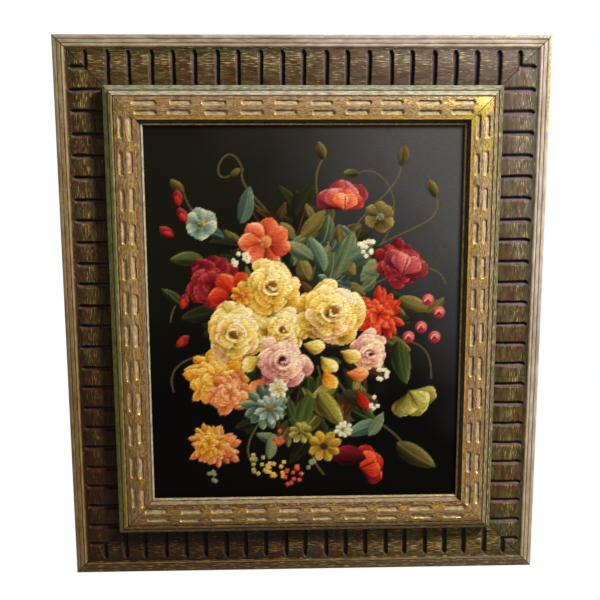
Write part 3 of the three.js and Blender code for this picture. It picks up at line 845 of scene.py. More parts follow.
def carved_moulding(side, looks, material):
    """One side of the raised moulding: outer wall, two reeds, band with two rows of hollows, and lip."""
    half, phase = SIDES[side][2], SIDES[side][4]
    wall = [MOULDING_FOOT, 29, 35, 40]
    face_rows = [*REED_ROWS, *BAND_ROWS, LIP_EDGE]
    insets = [MOULDING_EDGE] * len(wall) + face_rows + [LIP_EDGE, SLIP_OUTER - GAP, SLIP_OUTER - GAP]
    section = np.arange(len(insets))[None, :]
    last_face = len(wall) + len(face_rows)
    is_wall = section < len(wall)
    is_hidden = section >= last_face
    is_face = ~is_wall & ~is_hidden
    fixed = np.zeros(len(insets))
    fixed[:len(wall)] = wall
    fixed[last_face:] = [RABBET_HEIGHT, RABBET_HEIGHT, MOULDING_FOOT]
    relief = looks.relief

    def depth_at(along, inset):
        seed = 21 + phase
        uneven = 0.4 * (noise(along / 23, inset / 7, seed) - 0.5)
        uneven = uneven + 0.25 * (noise(along / 4, inset / 4, seed) - 0.5)
        inside = smooth(MOULDING_EDGE, MOULDING_EDGE + 2, inset) * smooth(LIP_EDGE, LIP_EDGE - 2, inset)
        share = hollow_share(side, along, inset)[0]
        face = np.where(inset < BAND_EDGE, reed_depth(inset), band_depth(inset))
        face = face + relief * (uneven - 0.4) * inside - HOLLOW_DEPTH * share
        return np.where(is_face, face, fixed[None, :])

    def paint_at(points, along, inset, depth):
        seed = 9 + phase
        across, up = world_place(points)
        patch = noise(along / 19, inset / 6, seed)
        share, gaps, ends = hollow_share(side, along, inset)
        ends = ends * is_face
        share = share * is_face
        away = turned_from_light(side, along, inset, depth)

        # The reeds are sage, more olive on the sides; each side is painted lighter or darker as painted light
        # and shade, lightest on the left and nearly black-green below
        reed_place = inset - MOULDING_EDGE
        outer = by_side(side, "#7A8072", "#8E9050", "#46461C", "#5A583D")
        inner = by_side(side, "#A2A494", "#BDB672", "#625C2A", "#756B4F")
        reed = coated(
            linear(outer), (inner, smooth(6.5, 11.5, reed_place)), ("#6A5C3E", 0.4 * smooth(0.5, 0.85, patch))
        )

        # The band is taupe, with broken lines of bare clay and of pale rubbing along it
        wobble = 0.9 * (noise(along / 14, inset * 0, seed + 6) - 0.5)
        clay = sum(stripe(inset + wobble, place, 1.0) for place in CLAY_LINES)
        clay = clay * smooth(0.25, 0.6, noise(along / 13, inset / 8, seed + 4)) * (1 - share)
        rubbed = np.clip(sum(stripe(inset + wobble, place, 1.9) for place in RUBBED_LINES), 0, 1)
        rubbed = rubbed * smooth(0.3, 0.65, noise(along / 27, inset / 5, seed + 5)) * (1 - share)
        base = coated(
            np.array(looks.taupe),
            ("#86714E", 0.6 * smooth(0.35, 0.75, patch)),
            ("#B9AC8E", by_side(side, 0.25, 0.75, 0.45, 0.5) * rubbed),
            (looks.red_clay, by_side(side, 0.6, 0.9, 0.8, 0.7) * np.clip(clay, 0, 1)),
        )
        # Painted shade darkens the band on the bottom side
        base = base * by_side(side, 1.0, 1.0, 0.8, 1.0)

        # The hollows have pale floors, a little darker on the left and bottom as painted shade, with painted
        # shade in dark brown on walls turned away from the light and a painted highlight in gold on walls
        # that face it
        floor_paint = by_side(side, "#B5AC99", "#AEA68F", "#A39C86", "#B3A996")
        wall_shade = np.clip(share * (1 - share) * 4, 0, 1)
        outline = smooth(0.1, 0.7, wall_shade)
        base = coated(
            base,
            (floor_paint, 0.9 * share),
            ("#34200F", by_side(side, 0.78, 0.5, 0.78, 0.78) * smooth(0.1, 0.8, away) * outline),
            ("#5A2A16", by_side(side, 0.0, 0.6, 0.6, 0.6) * smooth(0.3, 0.0, np.abs(away)) * outline),
            ("#D2B565", 0.75 * smooth(0.02, 0.5, -away) * wall_shade),
            ("#D8BC58", 0.7 * ends),
        )

        # The reeds' grooves are darkened as painted shade, red clay shows beside the band, and the lip is
        # gold
        on_reeds = (inset < BAND_EDGE - 0.4) & is_face
        base = np.where((inset < BAND_EDGE - 0.4)[..., None], reed, base)
        groove = sum(stripe(reed_place, place, 0.8) for place in REED_GROOVES)
        inner_strip = smooth(LIP_START - 1.2, LIP_START + 0.4, inset)
        base = coated(
            base,
            ("#3A3020", 0.5 * np.clip(groove, 0, 1)),
            ("#5A2418", 0.8 * stripe(inset, BAND_EDGE + 0.2, by_side(side, 0.8, 0.8, 1.8, 0.8))),
            (by_side(side, "#C39A45", "#8A5A20", "#6A3E1C", "#C9A04A"), 0.8 * inner_strip),
        )
        base = np.where(is_wall[..., None], linear("#37301F"), base)
        base = np.where(is_hidden[..., None], linear("#6B5136"), base)
        to_mitre = half - inset - np.abs(along)
        crack = smooth(1.1, 0.2, to_mitre) * is_face
        base = coated(base, ("#1A120C", 0.75 * crack))

        # Leaf is left on the band, most of all at the upper right corner and in the gaps; more of it on walls
        # that face the light and less on walls turned away is painted highlight and shade
        corner = smooth(1.12, 1.38, across + up)
        near_mitre = smooth(30, 6, to_mitre)
        gilt = 0.25 + 0.2 * (patch - 0.5) + (0.06 + 0.12 * near_mitre) * corner + 0.05 * inner_strip
        gilt = gilt + 0.02 * (across + up)
        gilt = gilt + 0.2 * wall_shade * smooth(0.0, 0.5, -away) - 0.12 * share
        gilt = gilt - 0.3 * smooth(0.05, 0.5, away) * wall_shade
        gilt = gilt + 0.3 * ends + gaps * by_side(side, 0.05, 0.1, 0.16, 0.02)
        gilt = np.where((inset > BAND_EDGE) & is_face, gilt, 0.0)
        gilt = np.where((np.abs(inset - BAND_EDGE) < 1.4) & is_face, 0.24 + 0.1 * corner, gilt)
        worn = 0.36 * is_face * (1 - share)
        # Painted shade across the frame, darkest and yellowest towards the lower left, is nearly left off the
        # hollow floors; the reeds have their own table
        painted_shade = mixed(painted_shade_across(points, BAND_SHADE), np.ones(3), 0.9 * share)
        reed_painted_shade = painted_shade_across(points, REEDS_SHADE)
        if side == "bottom":
            reed_painted_shade = reed_painted_shade * LOW_REED_SHADE
        painted_shade = np.where(on_reeds[..., None], reed_painted_shade, painted_shade)
        return {"worn": worn, "gilt": gilt * (1 - crack)}, {"tint": base, "painted_shade": painted_shade}

    return mitred_piece(f"raised_moulding_{side}", side, looks.columns, insets, depth_at, material, paint_at)


def slip(side, looks, material):
    """One side of the inner slip: steep cream cove, fine dark groove and gilded fillet over the canvas."""
    groove = SLIP_EDGE - (SLIP_EDGE - LIP_EDGE) * 0.45
    fillet = SLIP_BACK + (SLIP_TOP - SLIP_BACK) * 0.4
    cove_start = LIP_EDGE + 0.2
    cove_end = groove - 0.6
    section = [(SLIP_OUTER, SLIP_BACK), (SLIP_OUTER, SLIP_TOP), (cove_start, SLIP_TOP)]
    for share in (0.15, 0.3, 0.45, 0.6, 0.75, 0.9, 1.0):
        inset = cove_start + (cove_end - cove_start) * share ** 1.25
        section.append((inset, SLIP_TOP - (SLIP_TOP - fillet) * share ** 0.8))
    section += [
        (groove - 0.3, fillet - 0.6), (groove, fillet - 0.9), (groove + 0.4, fillet - 0.5),
        (groove + 0.7, fillet), (groove + 1.4, fillet + 0.1), (SLIP_EDGE - 0.9, fillet - 0.1),
        (SLIP_EDGE - 0.4, fillet - 0.4), (SLIP_EDGE - 0.1, fillet - 0.8), (SLIP_EDGE, fillet - 1.2),
        (SLIP_EDGE, SLIP_BACK),
    ]
    insets = [inset for inset, _ in section]
    depths = np.array([depth for _, depth in section])

    def depth_at(along, inset):
        return np.broadcast_to(depths[None, :], along.shape).copy()

    def paint_at(points, along, inset, depth):
        patch = noise(along / 14, inset / 2.5, 31 + SIDES[side][4])
        # Painted shade: the cove is darkened on the top and right, where it turns from the light, the paint
        # on the left and bottom is darker too, and the fine groove is a dark line
        shaded = by_side(side, 0.92, 0.12, 0.0, 0.8)
        dark_line = stripe(inset, groove, 0.5)
        on_fillet = smooth(groove + 0.4, groove + 0.9, inset)
        base = coated(np.array(looks.cream), ("#A08E70", 0.7 * smooth(0.4, 0.8, patch)))
        base = coated(
            base * by_side(side, 1.0, 0.6, 0.8, 1.0),
            ("#2A1C12", shaded * smooth(groove + 0.3, groove - 0.6, inset)),
            (by_side(side, "#B79A5E", "#BDB298", "#C0AE80", "#B79A5E"), 0.8 * on_fillet),
            ("#1A130D", 0.9 * dark_line),
        )
        gilt = by_side(side, 0.3, 0.12, 0.22, 0.3) * on_fillet + 0.04
        # The pale dry-brush lies mostly on the left and bottom, where the cove faces the light, as painted
        # light
        worn = 0.3 * (1 - shaded) * (1 - dark_line)
        values = {"worn": worn, "gilt": gilt * (1 - dark_line)}
        return values, {"tint": base, "painted_shade": np.ones(base.shape)}

    return mitred_piece(f"cream_slip_{side}", side, looks.slip_columns, insets, depth_at, material, paint_at)


# The painting: strokes laid on a fine net of points, from the dark ground to the lights


def window(picture, x, z, reach):
    """The part of the picture within reach of a place, as slices, with its offsets from that place."""
    columns, rows = picture["columns"], picture["rows"]
    across = slice(*np.searchsorted(columns, (x - reach, x + reach)))
    upwards = slice(*np.searchsorted(rows, (z - reach, z + reach)))
    off_x, off_z = np.meshgrid(columns[across] - x, rows[upwards] - z)
    return (upwards, across), off_x, off_z


def lay(picture, part, alpha, colour, height=0.0):
    """Lays paint of a colour and height over part of the picture, as far as alpha covers."""
    old = picture["colour"][part]
    picture["colour"][part] = old * (1 - alpha[..., None]) + colour * alpha[..., None]
    old = picture["height"][part]
    picture["height"][part] = old * (1 - alpha) + height * alpha


def tones(palette, tone):
    """Colours from a palette of hex values, darkest first, at tones from 0 to 1."""
    stops = np.array([linear(colour) for colour in palette])
    places = np.linspace(0, 1, len(stops))
    return np.stack([np.interp(tone, places, stops[:, channel]) for channel in range(3)], axis=-1)


def petal(
    picture, x, z, length, width, angle, palette, seed, widest=0.6, curl=0.0, tone=0.45, root=0.5, thick=0.3
):
    """One petal or leaf stroke from its root, lit from the upper right, with bristle streaks along it."""
    part, off_x, off_z = window(picture, x, z, length * 1.25 + width)
    if off_x.size == 0:
        return
    cos, sin = math.cos(angle), math.sin(angle)
    along = (off_x * cos + off_z * sin) / length
    bend = curl * length * np.clip(along, 0, 1.2) ** 2
    across = -off_x * sin + off_z * cos - bend
    power = math.log(0.5) / math.log(widest)
    half = width / 2 * np.sin(math.pi * np.clip(along, 0, 1) ** power) ** 0.75
    ragged = 1.1 * (noise(off_x / 3.5, off_z / 3.5, seed) - 0.5)
    alpha = smooth(-0.9, 0.9, half - np.abs(across) + ragged) * (along > -0.02) * (along < 1.02)
    lean = np.clip(across / np.maximum(half, 0.6), -1, 1)
    facing = -sin * LIGHT_SIDE[0] + cos * LIGHT_SIDE[1]
    streak = noise(along * 1.8, across / 3.4, seed + 1)
    shade = tone + 0.34 * lean * facing + root * (along - 0.6) + 0.3 * (streak - 0.5)
    shade = shade + 0.22 * smooth(0.6, 0.95, np.abs(lean)) * smooth(0.35, 0.85, along)
    under = smooth(-3.4, 1.2, half - np.abs(across) + ragged) * (along > 0.05) * (along < 1.06)
    lay(picture, part, 0.45 * under, linear(palette[0]), 0.05)
    lay(picture, part, alpha, tones(palette, np.clip(shade, 0, 1)), thick * (0.6 + streak))


def leaf(picture, x, z, length, angle, palette, seed, slim=0.42, curl=0.0, tone=0.42):
    """A leaf with a lighter vein along its middle."""
    petal(picture, x, z, length, length * slim, angle, palette, seed, 0.42, curl, tone, 0.15, 0.12)
    vein = [(0.0, 0.0), (0.5, curl * 0.25), (0.93, curl * 0.86)]
    cos, sin = math.cos(angle), math.sin(angle)
    line = [(x + length * (a * cos - b * sin), z + length * (a * sin + b * cos)) for a, b in vein]
    stem(picture, line, 1.3, palette[-2], 0.4)


def stem(picture, line, width, colour, strength=0.85):
    """A thin curved stroke through three or more places."""
    line = np.array(line, dtype=float)
    share = np.linspace(0, 1, len(line))
    fine = np.linspace(0, 1, 26)
    degree = min(3, len(line) - 1)
    curve = [np.polyval(np.polyfit(share, line[:, axis], degree), fine) for axis in (0, 1)]
    paint = linear(colour)
    for place in range(25):
        x, z = curve[0][place], curve[1][place]
        step = np.array([curve[0][place + 1] - x, curve[1][place + 1] - z])
        span = max(float(np.hypot(*step)), 0.01)
        part, off_x, off_z = window(picture, x + step[0] / 2, z + step[1] / 2, span / 2 + width + 2)
        if off_x.size == 0:
            continue
        off_x = off_x + step[0] / 2
        off_z = off_z + step[1] / 2
        share_along = np.clip((off_x * step[0] + off_z * step[1]) / span ** 2, 0, 1)
        away = np.hypot(off_x - share_along * step[0], off_z - share_along * step[1])
        alpha = strength * smooth(width / 2 + 1.0, width / 2 - 0.5, away)
        lay(picture, part, alpha, paint, 0.1)


def dab(picture, x, z, radius, palette, tone=0.6, flat=1.0):
    """A round touch of paint, lighter towards the light."""
    part, off_x, off_z = window(picture, x, z, radius + 2)
    if off_x.size == 0:
        return
    away = np.hypot(off_x, off_z / flat)
    alpha = smooth(radius + 0.7, radius - 0.9, away)
    lean = (off_x * LIGHT_SIDE[0] + off_z * LIGHT_SIDE[1]) / radius
    lay(picture, part, alpha, tones(palette, np.clip(tone + 0.4 * lean, 0, 1)), 0.25)


def glow(picture, x, z, reach, colour, strength):
    """A soft patch of broken colour behind the flowers."""
    part, off_x, off_z = window(picture, x, z, reach * 1.3)
    away = np.hypot(off_x, off_z) / reach
    broken = 0.6 + 0.8 * (noise((off_x + x) / 17, (off_z + z) / 17, x + z) - 0.5)
    lay(picture, part, strength * broken * smooth(1.15, 0.1, away), linear(colour), 0.05)


def rose(picture, x, z, radius, palettes, heart, random, facing=0.0):
    """A full rose: loose outer petals, closer inner ones round a deep heart that looks to one side."""
    start = random.uniform(0, 6.28)
    heart_x = x + 0.16 * radius * math.cos(facing)
    heart_z = z + 0.16 * radius * math.sin(facing)
    rings = (
        (7, 1.04, 1.0, 0.34), (7, 0.9, 0.86, 0.44), (6, 0.7, 0.8, 0.52), (5, 0.5, 0.66, 0.56),
        (4, 0.34, 0.5, 0.5),
    )
    for ring, (count, reach, wide, tone) in enumerate(rings):
        for place in range(count):
            angle = start + ring * 0.8 + place * 6.283 / count + random.uniform(-0.2, 0.2)
            length = radius * reach * random.uniform(0.82, 1.1)
            lit = 0.2 * (math.cos(angle) * LIGHT_SIDE[0] + math.sin(angle) * LIGHT_SIDE[1])
            share = ring / len(rings)
            palette = palettes[int(random.integers(0, len(palettes)))]
            petal(
                picture, x + share * (heart_x - x), z + share * (heart_z - z), length,
                radius * wide * random.uniform(0.75, 1.1), angle, palette, random.uniform(0, 99), 0.7,
                random.uniform(-0.3, 0.3), tone + lit + random.uniform(-0.08, 0.08), 0.95, 0.5,
            )
    dab(picture, heart_x, heart_z, radius * 0.15, heart, 0.3)
    for turn in range(6):
        angle = facing + 2.2 + turn * 1.3
        arc = []
        for step in range(5):
            swing = angle + step * 0.4
            away = radius * (0.11 + 0.05 * turn)
            arc.append((heart_x + away * math.cos(swing), heart_z + 0.85 * away * math.sin(swing)))
        stem(picture, [(px - 1.4, pz - 1.4) for px, pz in arc], 1.8, heart[1], 0.45)
        stem(picture, arc, 1.6 + 0.25 * turn, palettes[0][-1 if turn % 2 else -2], 0.65)


def ruffled(picture, x, z, radius, palette, random, count=16, slim=0.34, flat=1.0):
    """A bloom of many narrow petals in four rings, such as a dahlia or marigold."""
    for ring, reach in enumerate((1.0, 0.8, 0.6, 0.4)):
        for place in range(max(6, count - 3 * ring)):
            angle = place * 6.283 / max(6, count - 3 * ring) + ring * 0.35 + random.uniform(-0.15, 0.15)
            length = radius * reach * random.uniform(0.82, 1.12)
            length = length * (flat if abs(math.sin(angle)) > 0.6 else 1.0)
            petal(
                picture, x, z, length, radius * slim * random.uniform(0.85, 1.2), angle, palette,
                random.uniform(0, 99), 0.7, random.uniform(-0.25, 0.25),
                0.36 + 0.1 * ring + random.uniform(-0.08, 0.12), 0.6, 0.4,
            )


def open_flower(picture, x, z, radius, palette, centre, random, count=6, wide=0.75):
    """An open flower of round petals about a small centre, such as an anemone or a daisy."""
    start = random.uniform(0, 6.28)
    for place in range(count):
        angle = start + place * 6.283 / count
        petal(
            picture, x, z, radius * random.uniform(0.9, 1.08), radius * wide, angle, palette,
            random.uniform(0, 99), 0.66, random.uniform(-0.15, 0.15), 0.5 + random.uniform(-0.1, 0.1),
            0.5, 0.35,
        )
    dab(picture, x, z, radius * 0.24, centre, 0.4)
    for _ in range(9):
        angle = random.uniform(0, 6.28)
        away = radius * random.uniform(0.1, 0.28)
        dab(picture, x + away * math.cos(angle), z + away * math.sin(angle), 1.1, centre, 0.8)


def poppy(picture, x, z, radius, palette, random, facing=1.57):
    """A cupped flower seen from the side: back petals, two wide front petals and a dark fold."""
    for turn, wide, tone in ((-0.75, 0.85, 0.3), (0.75, 0.85, 0.36), (0.0, 0.95, 0.42)):
        petal(
            picture, x, z, radius * 1.15, radius * wide, facing + turn, palette, random.uniform(0, 99),
            0.7, 0.1 * turn, tone, 0.4, 0.3,
        )
    for turn, tone in ((-0.36, 0.62), (0.4, 0.7)):
        petal(
            picture, x, z, radius * 0.98, radius * 0.8, facing + turn, palette, random.uniform(0, 99),
            0.66, 0.15 * turn, tone, 0.45, 0.45,
        )
    fold = [
        (x, z), (x + 0.3 * radius * math.cos(facing), z + 0.3 * radius * math.sin(facing)),
        (x + 0.75 * radius * math.cos(facing + 0.05), z + 0.75 * radius * math.sin(facing + 0.05)),
    ]
    stem(picture, fold, 1.4, palette[0], 0.7)


def blossoms(picture, x, z, reach, palette, random, count=13, size=1.9):
    """A loose cluster of tiny four-petalled flowers."""
    for _ in range(count):
        angle = random.uniform(0, 6.28)
        away = reach * math.sqrt(random.uniform(0, 1))
        px, pz = x + away * math.cos(angle), z + away * math.sin(angle)
        for turn in range(4):
            swing = turn * 1.57 + angle
            petal_x = px + size * 0.9 * math.cos(swing)
            petal_z = pz + size * 0.9 * math.sin(swing)
            dab(picture, petal_x, petal_z, size, palette, 0.75)
        dab(picture, px, pz, 0.9, BLOSSOM_HEART, 0.5)


# Palettes of the paints, each from its darkest tone to its lightest

CREAM = ("#3A280C", "#866420", "#C4A23E", "#E2CC7A", "#F6EAB0")
STRAW = ("#3E2608", "#94661A", "#CFA038", "#E8C662", "#F4E294")
SHELL = ("#4A2A18", "#96683C", "#CDA26C", "#E8CC9A", "#F8EACB")
CREAM_HEART = ("#4A2C0C", "#855A1C", "#B98B38")
PINK = ("#4A1E1C", "#8E4846", "#BF7E76", "#DCAA98", "#F0D4BC")
BLUSH = ("#5A2A1E", "#A0604A", "#CE9878", "#E6C09C", "#F4DEC0")
PINK_HEART = ("#1E070A", "#42101A", "#7E3034")
AMBER = ("#4E2406", "#A0560F", "#CC8620", "#E2AE42", "#F2D27A")
PEACH = ("#4A1A0C", "#94421C", "#C66E34", "#E0965C", "#F0C08C")
SCARLET = ("#2E0504", "#74100A", "#AC2414", "#CE4024", "#E4754E")
CRIMSON = ("#160306", "#3C070C", "#661018", "#8C2028", "#B04A48")
ROSE_RED = ("#2A0A10", "#5E1A22", "#8E303A", "#B45454", "#D08880")
VERMILION = ("#4A0A08", "#8E140E", "#B52A14", "#CC4A26", "#E08A4A")
CORAL_HEART = ("#7A3A18", "#C87C40", "#F0C088")
DULL_HEART = ("#2A2412", "#5E4E20", "#A08A3A")
STRAW_HEART = ("#3A3014", "#6E5A20", "#A8903A")
DARK_HEART = ("#1E1206", "#4A3210")
BLOSSOM_HEART = ("#6B5A1E", "#B79A3A")
GOLDEN = ("#3E2A08", "#7E5E18", "#B5922E", "#D2B254")
CORAL = ("#4A140A", "#95301A", "#C45234", "#DC7C52", "#F0B088")
TEAL = ("#0C1614", "#1E302A", "#3E5446", "#6A7F66", "#9CAA84")
PALE_BLUE = ("#1E302E", "#46605A", "#7A9082", "#ACB99C", "#D8DAB6")
GREEN = ("#080C06", "#161F0E", "#2E3A1A", "#4E5A2A", "#7E8444")
DARK_LEAF = ("#050604", "#0E1008", "#1C2010", "#302F18", "#4A4426")
BROWN_LEAF = ("#080503", "#1A1008", "#36200F", "#553A1C", "#7C5E30")
OLIVE = ("#141006", "#322A12", "#544A22", "#7A6C38", "#9E9054")
SAGE = ("#141A12", "#303C28", "#566444", "#808862", "#A8AA7E")
LIME = ("#22200A", "#4E4A16", "#7E782E", "#A8A04E", "#D0C880")
WHITE = ("#6E6E50", "#B9B894", "#E4E2C6", "#F6F4E2")
BERRY = ("#4A0E14", "#8E2630", "#C05055", "#DE8E86")


def paint_ground(picture):
    """Near-black ground, browner towards the upper left, with a painted sheen of grey reflected light towards
    the upper right.
    """
    columns, rows = np.meshgrid(picture["columns"], picture["rows"])
    across = columns / CANVAS_HALF_WIDTH
    up = rows / CANVAS_HALF_HEIGHT
    cloud = noise(columns / 60, rows / 60, 3, 3)
    upper_right = 0.75 * across + 0.75 * up + 0.2 * (cloud - 0.5)
    picture["colour"][:] = coated(
        linear("#020201"),
        ("#12120B", smooth(-0.3, 0.9, up) * (0.6 + 0.6 * (cloud - 0.5))),
        # Painted sheen: grey reflected light towards the upper right
        ("#454649", smooth(0.1, 1.3, upper_right) * 0.85),
        ("#17170D", smooth(0.2, 1.2, up - 0.8 * across) * 0.6),
    )
    picture["height"][:] = 0.05


def paint_bouquet(picture):
    """A loose oval bouquet: reds and dark leaves behind, cream roses in the middle, small ones in front."""
    random = np.random.default_rng(2024)
    for x, z, reach, colour, strength in (
        (-10, 60, 150, "#1C2014", 0.7), (30, 110, 80, "#2A3226", 0.5), (-90, -60, 110, "#1E140C", 0.6),
        (90, -60, 110, "#1A1A0E", 0.6), (-20, -150, 120, "#12160C", 0.6), (60, 60, 70, "#3A4A40", 0.45),
    ):
        glow(picture, x, z, reach, colour, strength)

    # Fine stems, tendrils and seed heads in dull olive above the bouquet
    for line, width in (
        (((10, 60), (24, 150), (18, 206), (30, 250)), 2.2),
        (((40, 70), (84, 150), (128, 196), (150, 238)), 1.8),
        (((60, 60), (128, 120), (190, 150), (206, 190)), 1.8),
        (((-20, 70), (-46, 150), (-84, 196), (-96, 232)), 2.0),
        (((-40, 60), (-110, 110), (-160, 150), (-188, 196)), 1.8),
        (((70, 30), (150, 70), (200, 76), (224, 52)), 1.6),
        (((-70, 20), (-150, 40), (-196, 30), (-214, -6)), 1.6),
        (((80, -50), (160, -40), (196, -60), (204, -102)), 1.6),
        (((-80, -60), (-160, -60), (-206, -80), (-212, -120)), 1.6),
        (((-30, -80), (-60, -150), (-90, -200), (-84, -246)), 2.2),
        (((40, -80), (90, -150), (140, -190), (170, -236)), 2.0),
        (((20, -80), (24, -160), (10, -210), (30, -262)), 2.2),
        (((100, 90), (140, 170), (120, 220), (84, 226)), 1.4),
        (((-96, 232), (-120, 254), (-134, 232), (-116, 222)), 1.6),
    ):
        stem(picture, line, width, "#5C5230", 0.7)
    for x, z, length, angle in (
        (150, 236, 34, 1.3), (206, 188, 30, 1.9), (84, 224, 24, 2.9), (-188, 194, 30, 2.2),
        (-116, 222, 20, 0.5), (30, 246, 30, 1.8),
    ):
        petal(picture, x, z, length, length * 0.5, angle, OLIVE, length, 0.5, 0.1, 0.4, 0.3, 0.2)

    # Leaves from the back to the front, darkest first
    for _ in range(120):
        angle = random.uniform(0, 6.28)
        away = 165 * math.sqrt(random.uniform(0.02, 1))
        x = -5 + away * 0.85 * math.cos(angle)
        z = -16 + away * 1.1 * math.sin(angle)
        palette = (DARK_LEAF, GREEN, DARK_LEAF, OLIVE, BROWN_LEAF, DARK_LEAF)[int(random.integers(0, 6))]
        swing = angle + random.uniform(-1.0, 1.0)
        leaf(
            picture, x, z, random.uniform(26, 60), swing, palette, random.uniform(0, 99),
            random.uniform(0.34, 0.6), random.uniform(-0.3, 0.3), random.uniform(0.2, 0.5),
        )
    for count, x_range, z_range, palettes, lengths, angles, slims, leaf_tones in (
        (34, (-20, 96), (40, 124), (SAGE, TEAL, SAGE, OLIVE), (22, 44), (0.2, 2.9), (0.5, 0.8), (0.25, 0.6)),
        (
            26, (-30, 100), (-170, -90), (GREEN, OLIVE, BROWN_LEAF, LIME), (28, 54), (-2.6, -0.4),
            (0.4, 0.6), (0.2, 0.5),
        ),
    ):
        for _ in range(count):
            x = random.uniform(*x_range)
            z = random.uniform(*z_range)
            palette = palettes[int(random.integers(0, len(palettes)))]
            leaf(
                picture, x, z, random.uniform(*lengths), random.uniform(*angles), palette,
                random.uniform(0, 99), random.uniform(*slims), random.uniform(-0.3, 0.3),
                random.uniform(*leaf_tones),
            )
    for x, z, length, angle, palette, tone in (
        (30, 74, 62, 1.9, TEAL, 0.5), (52, 70, 70, 1.1, SAGE, 0.45), (70, 92, 48, 0.5, TEAL, 0.55),
        (12, 92, 54, 2.5, SAGE, 0.5), (-100, 150, 58, 1.2, TEAL, 0.5), (-128, 128, 44, 2.7, TEAL, 0.35),
        (-6, 128, 56, 0.7, OLIVE, 0.55), (-160, 92, 52, 3.0, GREEN, 0.5), (150, 30, 56, -0.5, OLIVE, 0.5),
        (150, -40, 72, -1.5, GREEN, 0.45), (8, -128, 66, -2.0, GREEN, 0.6), (22, -122, 70, -1.1, LIME, 0.4),
        (60, -124, 60, -0.4, DARK_LEAF, 0.7), (120, -176, 56, -2.9, TEAL, 0.55),
        (104, -196, 44, 0.9, SAGE, 0.5), (150, -210, 76, -0.7, OLIVE, 0.35),
        (-118, -236, 60, 2.9, OLIVE, 0.25), (-40, -210, 44, 2.6, SAGE, 0.4),
        (-196, 20, 40, 2.3, GREEN, 0.4), (196, 6, 36, 0.6, OLIVE, 0.45), (-60, -234, 40, 1.3, SAGE, 0.55),
    ):
        leaf(picture, x, z, length, angle, palette, length + z, 0.44, 0.12, tone)

    # Reds at the back of the bouquet
    ruffled(picture, -146, 56, 46, CRIMSON, random, 12, 0.6)
    open_flower(picture, -112, 34, 40, VERMILION, CRIMSON, random, 6)
    poppy(picture, 62, 168, 42, ROSE_RED, random, 1.75)
    poppy(picture, 62, 168, 30, CORAL, random, 1.45)
    ruffled(picture, 148, 84, 38, CRIMSON, random, 11, 0.62)
    poppy(picture, 154, 66, 38, ROSE_RED, random, 1.2)
    open_flower(picture, -62, 120, 40, CORAL, CORAL_HEART, random, 7, 0.72)
    ruffled(picture, 118, 4, 40, SCARLET, random, 17, 0.3)
    poppy(picture, 88, -252, 36, SCARLET, random, 0.35)
    petal(picture, 100, -236, 62, 34, 2.9, CRIMSON, 17, 0.5, 0.1, 0.3, 0.2)
    petal(picture, 84, -118, 40, 18, -1.25, SCARLET, 12, 0.6, 0.2, 0.4, 0.2)

    # Amber and peach blooms at the lower left
    ruffled(picture, -142, -96, 50, AMBER, random, 17, 0.4)
    ruffled(picture, -122, -122, 38, PEACH, random, 13, 0.46)
    ruffled(picture, -146, -212, 42, PEACH, random, 18, 0.28, 0.8)
    ruffled(picture, -158, -204, 30, AMBER, random, 13, 0.3)

    # The mass of cream roses, with pink ones below and to the right
    creams = (CREAM, CREAM, STRAW, SHELL)
    rose(picture, -106, -22, 52, creams, CREAM_HEART, random, 3.6)
    rose(picture, -54, 44, 46, (CREAM, STRAW, STRAW), CREAM_HEART, random, 1.2)
    rose(picture, -30, -22, 38, creams, CREAM_HEART, random, 2.6)
    rose(picture, 38, 6, 54, (CREAM, SHELL, STRAW), CREAM_HEART, random, 0.4)
    rose(picture, -34, -76, 44, (PINK, BLUSH, PINK), PINK_HEART, random, 1.9)
    rose(picture, 102, -56, 32, (PINK, BLUSH), PINK_HEART, random, 5.2)
    for x, z, angle, palette in (
        (24, -64, -0.9, CREAM), (56, -56, -0.5, CREAM), (-72, -64, 3.6, CREAM), (-4, -44, -0.3, CREAM),
        (30, -86, -1.2, AMBER), (-66, -100, 3.9, PEACH), (66, -92, -0.2, PEACH),
    ):
        petal(picture, x, z, 36, 24, angle, palette, x + z, 0.62, 0.15, 0.6, 0.5, 0.5)

    # Blue-green and yellow-green flowers
    open_flower(picture, -66, -146, 38, TEAL, DULL_HEART, random, 12, 0.4)
    open_flower(picture, -58, -150, 26, PALE_BLUE, STRAW_HEART, random, 9, 0.42)
    open_flower(picture, -162, 148, 26, PALE_BLUE, LIME, random, 6, 0.95)
    poppy(picture, 168, -122, 40, LIME, random, -1.1)
    open_flower(picture, 118, 158, 26, OLIVE, SAGE, random, 6, 0.8)
    open_flower(picture, 30, -214, 28, GOLDEN, DARK_HEART, random, 8, 0.52)
    open_flower(picture, -8, -190, 20, LIME, OLIVE, random, 8, 0.5)
    open_flower(picture, -100, 36, 18, AMBER, CORAL, random, 7, 0.6)
    open_flower(picture, -44, -116, 17, WHITE, AMBER, random, 9, 0.46)
    open_flower(picture, 62, -186, 15, WHITE, LIME, random, 9, 0.42)

